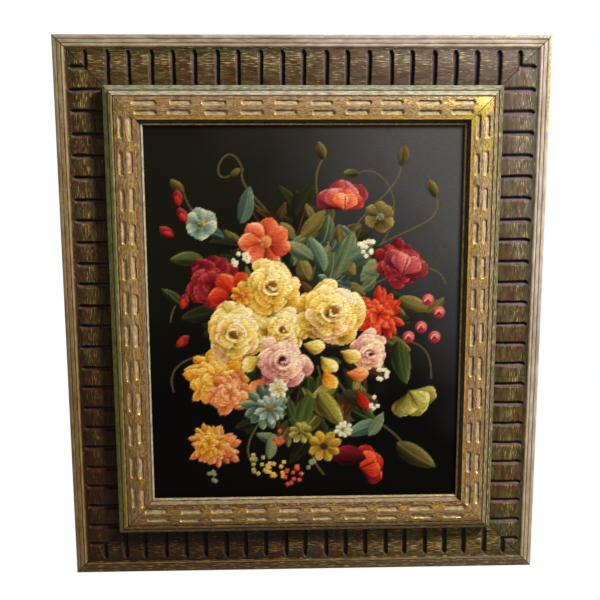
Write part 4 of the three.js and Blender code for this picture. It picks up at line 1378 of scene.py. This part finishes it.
    # Pink berries on the right, red buds on the left, and small clusters
    for x, z in ((196, 26), (214, 6), (186, -18), (208, -34), (166, -34)):
        dab(picture, x, z, 9.5, BERRY, 0.5)
        stem(picture, ((x - 5, z - 2), (x, z + 4), (x + 5, z - 1)), 1.6, BERRY[-1], 0.7)
        stem(picture, ((x - 3, z - 4), (x + 1, z - 1), (x + 4, z - 5)), 1.3, BERRY[0], 0.6)
    for x, z, angle in (
        (-196, 14, 1.2), (-206, -46, 0.6), (-186, 150, 1.9), (-206, 128, 2.4), (-196, 176, 1.6),
    ):
        petal(picture, x, z, 26, 15, angle, CRIMSON, x, 0.5, 0.1, 0.6, 0.4, 0.3)
        petal(picture, x, z, 17, 9, angle + 0.1, SCARLET, z, 0.5, 0.1, 0.5, 0.4, 0.3)
    for x, z, reach, palette, count in (
        (-100, 92, 15, WHITE, 10), (96, 108, 16, WHITE, 12), (120, -92, 14, WHITE, 9),
        (-76, -240, 20, LIME, 14), (-48, -252, 18, AMBER, 12), (-26, -262, 20, SCARLET, 14),
        (-40, -196, 14, SCARLET, 8), (112, -140, 16, WHITE, 5), (-150, -262, 11, SAGE, 6),
        (8, -246, 12, SAGE, 5),
    ):
        blossoms(picture, x, z, reach, palette, random, count)


def spaced(half, fine_half, fine_step, coarse_step):
    """Places from -half to half, close together in the middle and wider towards the edges."""
    middle = np.arange(-fine_half, fine_half + fine_step / 2, fine_step)
    count = max(2, round((half - fine_half) / coarse_step))
    outer = np.linspace(middle[-1], half, count + 1)[1:]
    return np.concatenate([-outer[::-1], middle, outer])


def stretched_canvas(looks, material):
    """The painted linen, drawn over the stretcher's edges and turned over at the back."""
    edge_x, edge_z = CANVAS_HALF_WIDTH - CANVAS_EDGE_GAP, CANVAS_HALF_HEIGHT - CANVAS_EDGE_GAP
    columns = spaced(edge_x, FINE_HALF_WIDTH, looks.net, COARSE_NET)
    rows = spaced(edge_z, FINE_HALF_HEIGHT, looks.net, COARSE_NET)
    shape = (len(rows), len(columns))
    picture = {
        "columns": columns, "rows": rows, "colour": np.zeros((*shape, 3)), "height": np.zeros(shape),
    }
    paint_ground(picture)
    paint_bouquet(picture)
    x, z = np.meshgrid(columns, rows)
    shown = smooth(CANVAS_HALF_WIDTH - 7, CANVAS_HALF_WIDTH - 14, np.abs(x))
    shown = shown * smooth(CANVAS_HALF_HEIGHT - 7, CANVAS_HALF_HEIGHT - 14, np.abs(z))
    front = CANVAS_FRONT - 0.35 + looks.paint_body * 0.6 * (picture["height"] - 0.1) * shown
    points = [np.stack([x, -front, z + CENTRE_Z], axis=-1).reshape(-1, 3)]
    colours = [picture["colour"].reshape(-1, 3)]
    flat_map = [np.stack([x, z], axis=-1).reshape(-1, 2)]
    index = np.arange(x.size).reshape(shape)
    ring = np.concatenate([index[0, :], index[1:, -1], index[-1, -2::-1], index[-2:0:-1, 0]])
    quads = np.stack([index[:-1, :-1], index[:-1, 1:], index[1:, 1:], index[1:, :-1]], axis=-1)
    faces = quads.reshape(-1, 4).tolist()
    ring_x = x.ravel()[ring]
    ring_z = z.ravel()[ring]
    total = x.size
    last = ring
    linen = linear("#A8977A")

    # Rings from the front edge round the side, over the back and in again on the inner face of the cloth:
    # how far each lies outside the edge, its depth, and the length of cloth up to it
    turned_end = CANVAS_SIDE + looks.turnover
    profile = [
        (0.0, CANVAS_FRONT - 0.7, 1.0), (0.0, CANVAS_FRONT - 6.0, 7.0), (0.0, TURNED_BACK + 1.2, 19.0),
        (-0.6, TURNED_BACK, 20.5), (-looks.turnover, TURNED_BACK, turned_end),
        (-looks.turnover, TURNED_BACK + CLOTH, turned_end), (-1.0, TURNED_BACK + CLOTH, CANVAS_SIDE),
        (-CLOTH, TURNED_BACK + CLOTH + 0.6, 19.0), (-CLOTH, CANVAS_FRONT - 1.3, 1.0),
    ]
    for outset, depth, laid in profile:
        share_x = (edge_x + outset) / edge_x
        share_z = (edge_z + outset) / edge_z
        depths = np.full(len(ring), -depth)
        points.append(np.stack([ring_x * share_x, depths, ring_z * share_z + CENTRE_Z], axis=-1))
        primed = depth > CANVAS_FRONT - 3 and outset == 0.0
        colours.append(np.tile(linear("#15120E") if primed else linen, (len(ring), 1)))
        flat_map.append(np.stack([ring_x * (1 + laid / edge_x), ring_z * (1 + laid / edge_z)], axis=-1))
        this = np.arange(len(ring)) + total
        faces += np.stack([np.roll(last, -1), last, this, np.roll(this, -1)], axis=-1).tolist()
        total += len(ring)
        last = this

    # The inner face behind the front is flat and unseen, so it is one fan
    points.append(np.array([[0.0, -(CANVAS_FRONT - 1.3), CENTRE_Z]]))
    colours.append(linen[None, :])
    flat_map.append(np.zeros((1, 2)))
    following = np.roll(last, -1)
    faces += [[int(a), int(b), total] for a, b in zip(following, last)]
    points = np.concatenate(points)
    colours = np.concatenate(colours)
    flat_map = np.concatenate(flat_map)
    lit = colours.max(axis=1)
    loops = np.concatenate([np.asarray(face) for face in faces])
    return new_piece(
        "painted_canvas", points, faces, material,
        uv=("cloth", flat_map[loops] * MM),
        values={"body": 0.35 + 0.5 * smooth(0.02, 0.3, lit)},
        colours={"paint": colours},
        smooth_angle=60.0,
    )


# Small steel and wood parts, modelled at their places

STRAP_WIDTH = 16.0
STRAP_LENGTH = 42.0
STRAP_THICKNESS = 2.4
KNUCKLE_RADIUS = 2.6
RING_WIRE = 3.0
RING_RADIUS = 11.2
SCREW_PLACES = (9.0, 26.0)
TACK_RADIUS = 4.4
BRAD_RADIUS = 0.9
BRAD_LENGTH = 26.0
KEY_SIZE = (26.0, 2.6, 11.0)


def select_only(*parts):
    """Selects these objects alone and makes the first of them active."""
    bpy.ops.object.select_all(action="DESELECT")
    for part in parts:
        part.select_set(True)
    bpy.context.view_layer.objects.active = parts[0]


def coat(piece, material):
    """Gives a piece one material in place of any it has."""
    piece.data.materials.clear()
    piece.data.materials.append(material)


def join_pieces(name, parts, material):
    """Joins parts into one named piece of one material, with its place in its mesh."""
    select_only(*parts)
    if len(parts) > 1:
        bpy.ops.object.join()
    joined = bpy.context.view_layer.objects.active
    joined.name = name
    bpy.ops.object.transform_apply(location=True, rotation=True, scale=True)
    coat(joined, material)
    return joined


def bevelled(piece, width, segments=2):
    """Bevels a piece's edges and applies the modifier."""
    select_only(piece)
    bpy.ops.object.transform_apply(location=False, rotation=True, scale=True)
    bevel = piece.modifiers.new("Edges", "BEVEL")
    bevel.width = width * MM
    bevel.segments = segments
    bevel.limit_method = "ANGLE"
    bpy.ops.object.modifier_apply(modifier=bevel.name)
    bpy.ops.object.shade_smooth_by_angle(angle=math.radians(40))
    return piece


def block(x, y, z, size, turn=0.0):
    """A block centred on a place in millimetres, turned about the axis that runs through the frame."""
    bpy.ops.object.select_all(action="DESELECT")
    bpy.ops.mesh.primitive_cube_add(size=1, location=(x * MM, y * MM, z * MM), rotation=(0, turn, 0))
    piece = bpy.context.view_layer.objects.active
    piece.scale = [part * MM for part in size]
    return piece


def rod(x, y, z, radius, length, rotation, vertices=24):
    """A round rod centred on a place in millimetres."""
    bpy.ops.object.select_all(action="DESELECT")
    bpy.ops.mesh.primitive_cylinder_add(
        vertices=vertices, radius=radius * MM, depth=length * MM,
        location=(x * MM, y * MM, z * MM), rotation=rotation,
    )
    return bpy.context.view_layer.objects.active


def wood_screw(x, z, seat):
    """A pan-head screw with a driver slot, seated on the strap, its point in the rail."""
    facing = (math.radians(90), 0, 0)
    head = bevelled(rod(x, seat + 0.8, z, 3.6, 1.6, facing), 0.7, 3)
    slot = block(x, seat + 1.5, z, (7.6, 1.0, 0.9), math.radians(28 + x % 40))
    bpy.context.view_layer.objects.active = head
    cut = head.modifiers.new("Slot", "BOOLEAN")
    cut.object = slot
    cut.operation = "DIFFERENCE"
    cut.solver = "EXACT"
    bpy.ops.object.modifier_apply(modifier=cut.name)
    bpy.data.objects.remove(slot, do_unlink=True)
    return head


def ring_hanger(side, steel):
    """A ring hanger: a doubled strap with rounded corners, its knuckle, and a loose ring through it."""
    low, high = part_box(f"hanger_{side}")
    middle = (low.x + high.x) / 2 / MM
    face = low.y / MM
    strap_end = low.z / MM
    knuckle_z = strap_end + STRAP_LENGTH
    strap_size = (STRAP_WIDTH, STRAP_THICKNESS, STRAP_LENGTH)
    strap = block(middle, face + STRAP_THICKNESS / 2, strap_end + STRAP_LENGTH / 2, strap_size)
    strap = bevelled(strap, 0.7, 3)
    across = (0, math.radians(90), 0)
    knuckle = rod(middle, face + KNUCKLE_RADIUS, knuckle_z, KNUCKLE_RADIUS, STRAP_WIDTH, across)
    strap = join_pieces(f"hanger_strap_{side}", [strap, bevelled(knuckle, 0.5)], steel)
    ring_height = high.z / MM - knuckle_z - RING_WIRE / 2
    bpy.ops.object.select_all(action="DESELECT")
    bpy.ops.mesh.primitive_torus_add(
        major_radius=RING_RADIUS * MM, minor_radius=RING_WIRE / 2 * MM, major_segments=48, minor_segments=14,
        location=(middle * MM, (face + KNUCKLE_RADIUS) * MM, (knuckle_z + ring_height / 2) * MM),
        rotation=(math.radians(90), 0, 0),
    )
    ring = bpy.context.view_layer.objects.active
    bpy.ops.object.transform_apply(location=False, rotation=True, scale=True)
    for point in ring.data.vertices:
        point.co.z = point.co.z * ring_height / (2 * RING_RADIUS)
    bpy.ops.object.shade_smooth()
    ring = join_pieces(f"hanger_ring_{side}", [ring], steel)
    screws = [wood_screw(middle, strap_end + place, face + STRAP_THICKNESS) for place in SCREW_PLACES]
    return strap, ring, join_pieces(f"hanger_screws_{side}", screws, steel)


def tack_heads(steel):
    """Domed tacks along the turned-over linen, a hand's width apart, modelled once and copied."""
    bpy.ops.object.select_all(action="DESELECT")
    bpy.ops.mesh.primitive_uv_sphere_add(segments=14, ring_count=8, radius=TACK_RADIUS * MM)
    tack = bpy.context.view_layer.objects.active
    bpy.ops.object.mode_set(mode="EDIT")
    cut_height = TACK_RADIUS / 2 * MM
    bpy.ops.mesh.bisect(plane_co=(0, 0, cut_height), plane_no=(0, 0, 1), clear_inner=True, use_fill=True)
    bpy.ops.object.mode_set(mode="OBJECT")
    bpy.ops.object.shade_smooth_by_angle(angle=math.radians(40))
    bpy.ops.transform.resize(value=(1, 1, 0.62))
    bpy.ops.object.transform_apply(location=False, rotation=True, scale=True)
    lowest = min(point.co.z for point in tack.data.vertices)
    copies = []
    inner_x, inner_z = CANVAS_HALF_WIDTH - 8.0, CANVAS_HALF_HEIGHT - 8.0
    along_x = np.linspace(-inner_x + 18, inner_x - 18, 8)
    along_z = np.linspace(-inner_z + 22, inner_z - 22, 10)
    places = [(x, side * inner_z) for x in along_x for side in (-1, 1)]
    places += [(side * inner_x, z) for z in along_z for side in (-1, 1)]
    for place, (x, z) in enumerate(places):
        copy = tack.copy()
        copy.data = tack.data.copy()
        bpy.context.scene.collection.objects.link(copy)
        drift = 1.6 * math.sin(5.1 * place)
        copy.rotation_euler = (math.radians(-90), 0, 0)
        copy.location = ((x + drift) * MM, -TURNED_BACK * MM - lowest, (z - drift + CENTRE_Z) * MM)
        copies.append(copy)
    bpy.data.objects.remove(tack, do_unlink=True)
    return join_pieces("canvas_tacks", copies, steel)


def fixing_brads(steel):
    """Brads laid over the stretcher and driven into the moulding's inner wall, to hold the canvas in."""
    brads = []
    wall_x = HALF_WIDTH - SLIP_OUTER
    wall_z = HALF_HEIGHT - SLIP_OUTER
    over = -(STRETCHER_BACK - 2.0)
    for x in (-150, 145):
        for end in (-1, 1):
            z = CENTRE_Z + end * (wall_z - 9.0)
            upright = (math.radians(3 * end), 0, 0)
            brads.append(bevelled(rod(x, over, z, BRAD_RADIUS, BRAD_LENGTH, upright, 12), 0.25, 1))
    for z in (-200, 5, 190):
        for end in (-1, 1):
            x = end * (wall_x - 9.0)
            level = (0, math.radians(90), 0)
            brads.append(bevelled(rod(x, over, CENTRE_Z + z, BRAD_RADIUS, BRAD_LENGTH, level, 12), 0.25, 1))
    return join_pieces("canvas_brads", brads, steel)


def stretcher_keys(wood):
    """Eight thin wooden wedges, two driven into the slots of each stretcher corner."""
    keys = []
    inner_x = HALF_WIDTH - STRETCHER_INNER
    inner_z = HALF_HEIGHT - STRETCHER_INNER
    depth = -(STRETCHER_BACK + 7.0)
    for side in (-1, 1):
        for end in (-1, 1):
            for upright in (False, True):
                turn = math.radians(side * end * (78 if upright else 12))
                x = side * (inner_x + (2.0 if upright else -5.0))
                z = CENTRE_Z + end * (inner_z + (-5.0 if upright else 2.0))
                key = block(x, depth + (3.4 if upright else 0.0), z, KEY_SIZE, turn)
                keys.append(bevelled(key, 0.4, 1))
    return join_pieces("stretcher_keys", keys, wood)


# Settings that a user may change


def colour_setting(name, description, default):
    """A colour that a user may change, from its sRGB hex value."""
    return FloatVectorProperty(
        name=name, description=description, subtype="COLOR", size=3, min=0, max=1,
        default=tuple(linear(default)),
    )


def share_setting(name, description):
    """A strength that a user may change, 1 as built."""
    return FloatProperty(name=name, description=description, default=1.0, min=0)


class OuterFrameLooks(bpy.types.PropertyGroup):
    """Sizes and colours of the outer frame."""
    columns: IntProperty(name="Columns", description="Steps along each rail", default=720, min=100)
    relief: share_setting("Unevenness", "How uneven the carving is, as a share")
    umber: colour_setting("Umber", "Darker paint of the frieze", "#4E3C24")
    olive: colour_setting("Olive", "Greener paint of the frieze", "#575236")
    red_brown: colour_setting("Red-brown", "Clay that shows where the paint is rubbed", "#54291C")
    moss: colour_setting("Moss", "Green left in the low places", "#42502E")
    rim: colour_setting("Rim", "Greige paint of the rim", "#B8AB9A")
    dry_brush: colour_setting("Dry brush", "Ochre dragged over the crests", "#AC9C6E")
    gold_leaf: colour_setting("Gold leaf", "Leaf on the rim's outer edge", "#D2B052")


class MouldingLooks(bpy.types.PropertyGroup):
    """Sizes and colours of the raised moulding."""
    columns: IntProperty(name="Columns", description="Steps along each rail", default=520, min=100)
    relief: share_setting("Unevenness", "How uneven the carving is, as a share")
    taupe: colour_setting("Taupe", "Paint of the carved band", "#9C8560")
    dry_brush: colour_setting("Dry brush", "Pale paint dragged over the crests", "#C8BB9A")
    gold_leaf: colour_setting("Gold leaf", "Worn leaf on the carved band", "#CDB54C")
    red_clay: colour_setting("Red clay", "Clay ground under the leaf", "#6A2C1A")


class SlipLooks(bpy.types.PropertyGroup):
    """Sizes and colours of the slip."""
    slip_columns: IntProperty(name="Columns", description="Steps along each slip", default=150, min=20)
    cream: colour_setting("Cream", "Paint of the cove", "#9C9078")
    dry_brush: colour_setting("Dry brush", "Pale paint on the crests", "#DDD3BC")
    gold_leaf: colour_setting("Gold leaf", "Leaf on the fillet", "#C2A25C")
    red_clay: colour_setting("Red clay", "Clay ground under the leaf", "#5E3420")


class PaintingLooks(bpy.types.PropertyGroup):
    """Sizes of the painting."""
    net: FloatProperty(
        name="Net", description="Spacing of the painted points, in millimetres", default=1.82, min=1
    )
    paint_body: share_setting("Paint body", "How thickly the paint stands, as a share")
    turnover: FloatProperty(
        name="Turnover", description="Linen turned over behind, in millimetres", default=16, min=5
    )


class StageLooks(bpy.types.PropertyGroup):
    """Light, floor and camera."""
    floor_colour: colour_setting("Floor", "Pale floor", "#EDEBE6")
    floor_drop: FloatProperty(
        name="Floor drop", description="From the fixing point to the floor", default=1.65, unit="LENGTH"
    )
    key_power: FloatProperty(
        name="Key light", description="Power of the soft key light, in watts", default=80, min=0
    )
    fill_power: FloatProperty(
        name="Fill light", description="Power of the fill light, in watts", default=2.5, min=0
    )
    sky: FloatProperty(
        name="Surroundings", description="Brightness of the plain surroundings", default=0.14, min=0
    )
    lens: FloatProperty(name="Lens", description="Focal length, in millimetres", default=42.0, min=10)


# Operators, one for each group of like pieces and one for the stage


class BuildOuterFrame(bpy.types.Operator):
    """Builds the four gouged rails of the outer frame"""
    bl_idname = "painting.outer_frame"
    bl_label = "Outer frame"

    def execute(self, context):
        looks = context.scene.outer_frame_looks
        material = aged_paint_on_wood(looks)
        for side in SIDES:
            piece = outer_rail(side, looks, material)
            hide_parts(f"outer_rail_{side}")
            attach(piece, "root")
        return {"FINISHED"}


class BuildMoulding(bpy.types.Operator):
    """Builds the four sides of the raised carved moulding"""
    bl_idname = "painting.moulding"
    bl_label = "Carved moulding"

    def execute(self, context):
        looks = context.scene.moulding_looks
        material = leaf_over_clay(looks)
        for side in SIDES:
            piece = carved_moulding(side, looks, material)
            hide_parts(f"carved_moulding_{side}")
            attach(piece, "root")
        return {"FINISHED"}


class BuildSlip(bpy.types.Operator):
    """Builds the four sides of the cream slip"""
    bl_idname = "painting.slip"
    bl_label = "Slip"

    def execute(self, context):
        looks = context.scene.slip_looks
        material = leaf_over_clay(looks)
        material.name = "Cream paint and worn gold leaf"
        for side in SIDES:
            piece = slip(side, looks, material)
            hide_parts(f"slip_{side}")
            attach(piece, "root")
        return {"FINISHED"}


class BuildCanvas(bpy.types.Operator):
    """Paints the bouquet and wraps the linen round its stretcher"""
    bl_idname = "painting.canvas"
    bl_label = "Painted canvas"

    def execute(self, context):
        looks = context.scene.painting_looks
        piece = stretched_canvas(looks, oil_on_canvas())
        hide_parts("canvas")
        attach(piece, "root")
        return {"FINISHED"}


class BuildStretcher(bpy.types.Operator):
    """Finishes the stretcher bars in bare pine and adds their keys"""
    bl_idname = "painting.stretcher"
    bl_label = "Stretcher"

    def execute(self, context):
        level = aged_pine("Bare aged pine, grain level", False)
        upright = aged_pine("Bare aged pine, grain upright", True)
        for side in SIDES:
            coat(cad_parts[f"stretcher_{side}"], level if side in ("top", "bottom") else upright)
        keys = stretcher_keys(level)
        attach(keys, "root")
        return {"FINISHED"}


class BuildFittings(bpy.types.Operator):
    """Builds the ring hangers, the tacks and the brads"""
    bl_idname = "painting.fittings"
    bl_label = "Fittings"

    def execute(self, context):
        steel = zinc_plated_steel()
        for side in ("left", "right"):
            pieces = ring_hanger(side, steel)
            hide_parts(f"hanger_{side}")
            for piece in pieces:
                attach(piece, "root")
        for piece in (tack_heads(steel), fixing_brads(steel)):
            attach(piece, "root")
        return {"FINISHED"}


def area_light(name, place, target, size, power, colour):
    """A round soft light at a place, turned to its target, from its width in metres and power in watts."""
    lamp = bpy.data.lights.new(name, "AREA")
    lamp.shape = "DISK"
    lamp.size = size
    lamp.energy = power
    lamp.color = linear(colour)
    light = bpy.data.objects.new(name, lamp)
    light.location = place
    light.rotation_euler = (Vector(target) - Vector(place)).to_track_quat("-Z", "Y").to_euler()
    bpy.context.scene.collection.objects.link(light)


# Places on the stage, in metres, and the camera's place and directions from the fit to the photograph

FLOOR_MIDDLE = -1.4
FLOOR_SIZE = (6.0, 5.1)
KEY_PLACE = (1.2, -1.15, 0.9)
FILL_PLACE = (-1.3, -1.5, -0.3)
BACK_PLACE = (0.5, 1.6, 0.6)
BACK_POWER = 16
CAMERA_PLACE = Vector((-0.03568, -1.14805, CENTRE_Z * MM + 0.17543))
CAMERA_FORWARD = Vector((0.02475, 0.99083, -0.13286))
CAMERA_UP = Vector((0.00718, 0.13272, 0.99113))


class BuildStage(bpy.types.Operator):
    """Adds the floor, the soft studio lights and the camera at the photograph's angle"""
    bl_idname = "painting.stage"
    bl_label = "Stage"

    def execute(self, context):
        looks = context.scene.stage_looks
        bpy.ops.object.select_all(action="DESELECT")
        bpy.ops.mesh.primitive_grid_add(
            x_subdivisions=24, y_subdivisions=20, size=1.0, location=(0, FLOOR_MIDDLE, -looks.floor_drop)
        )
        floor = bpy.context.view_layer.objects.active
        floor.name = "studio_floor"
        floor.scale = (*FLOOR_SIZE, 1.0)
        bpy.ops.object.transform_apply(location=True, rotation=True, scale=True)
        floor.data.materials.append(plain_stage_paint(looks))

        middle = (0.0, -0.03, CENTRE_Z * MM)
        area_light("key_light", KEY_PLACE, middle, 0.4, looks.key_power, "#FFF6EA")
        area_light("fill_light", FILL_PLACE, middle, 1.2, looks.fill_power, "#F2F4FF")
        area_light("back_light", BACK_PLACE, middle, 1.2, BACK_POWER, "#FFFFFF")

        world = bpy.data.worlds.new("Plain pale surroundings")
        bpy.context.scene.world = world
        world.use_nodes = True
        tree = world.node_tree
        tree.nodes.clear()
        seen = node(tree, "ShaderNodeLightPath").outputs["Is Camera Ray"]
        strength = node(tree, "ShaderNodeMix", {0: seen, 2: looks.sky, 3: 1.0}, data_type="FLOAT").outputs[0]
        pale = node(tree, "ShaderNodeBackground", {"Color": (1.0, 1.0, 1.0, 1.0), "Strength": strength})
        node(tree, "ShaderNodeOutputWorld", {"Surface": pale.outputs["Background"]})

        # The photograph was taken from a little above the middle and left of it, looking slightly down
        lens = bpy.data.cameras.new("photograph_camera")
        lens.lens = looks.lens
        lens.sensor_width = 36.0
        camera = bpy.data.objects.new("photograph_camera", lens)
        bpy.context.scene.collection.objects.link(camera)
        forward = CAMERA_FORWARD.normalized()
        right = forward.cross(CAMERA_UP).normalized()
        turn = Matrix((right, right.cross(forward), -forward)).transposed().to_4x4()
        camera.matrix_world = Matrix.Translation(CAMERA_PLACE) @ turn
        bpy.context.scene.camera = camera
        bpy.context.scene.view_settings.view_transform = "Standard"
        return {"FINISHED"}


BUILD_STEPS = ("outer_frame", "moulding", "slip", "canvas", "stretcher", "fittings", "stage")


class PaintingPanel(bpy.types.Panel):
    """Lists the build steps and their settings"""
    bl_idname = "VIEW3D_PT_painting"
    bl_label = "Framed painting"
    bl_space_type = "VIEW_3D"
    bl_region_type = "UI"
    bl_category = "Painting"

    def draw(self, context):
        for step in BUILD_STEPS:
            self.layout.operator(f"painting.{step}")
        for name, group in LOOKS.items():
            box = self.layout.box()
            for setting in group.__annotations__:
                box.prop(getattr(context.scene, name), setting)


LOOKS = {
    "outer_frame_looks": OuterFrameLooks,
    "moulding_looks": MouldingLooks,
    "slip_looks": SlipLooks,
    "painting_looks": PaintingLooks,
    "stage_looks": StageLooks,
}
OPERATORS = (
    BuildOuterFrame, BuildMoulding, BuildSlip, BuildCanvas, BuildStretcher, BuildFittings, BuildStage,
    PaintingPanel,
)


def register():
    """Adds the settings, the operators and the panel."""
    for group in (*LOOKS.values(), *OPERATORS):
        bpy.utils.register_class(group)
    for name, group in LOOKS.items():
        setattr(bpy.types.Scene, name, PointerProperty(type=group))


def unregister():
    """Removes the settings, the operators and the panel."""
    for name in LOOKS:
        delattr(bpy.types.Scene, name)
    for group in reversed((*LOOKS.values(), *OPERATORS)):
        bpy.utils.unregister_class(group)


def main():
    """Runs every build step in order."""
    register()
    for step in BUILD_STEPS:
        getattr(bpy.ops.painting, step)()


if __name__ == "__main__":
    main()
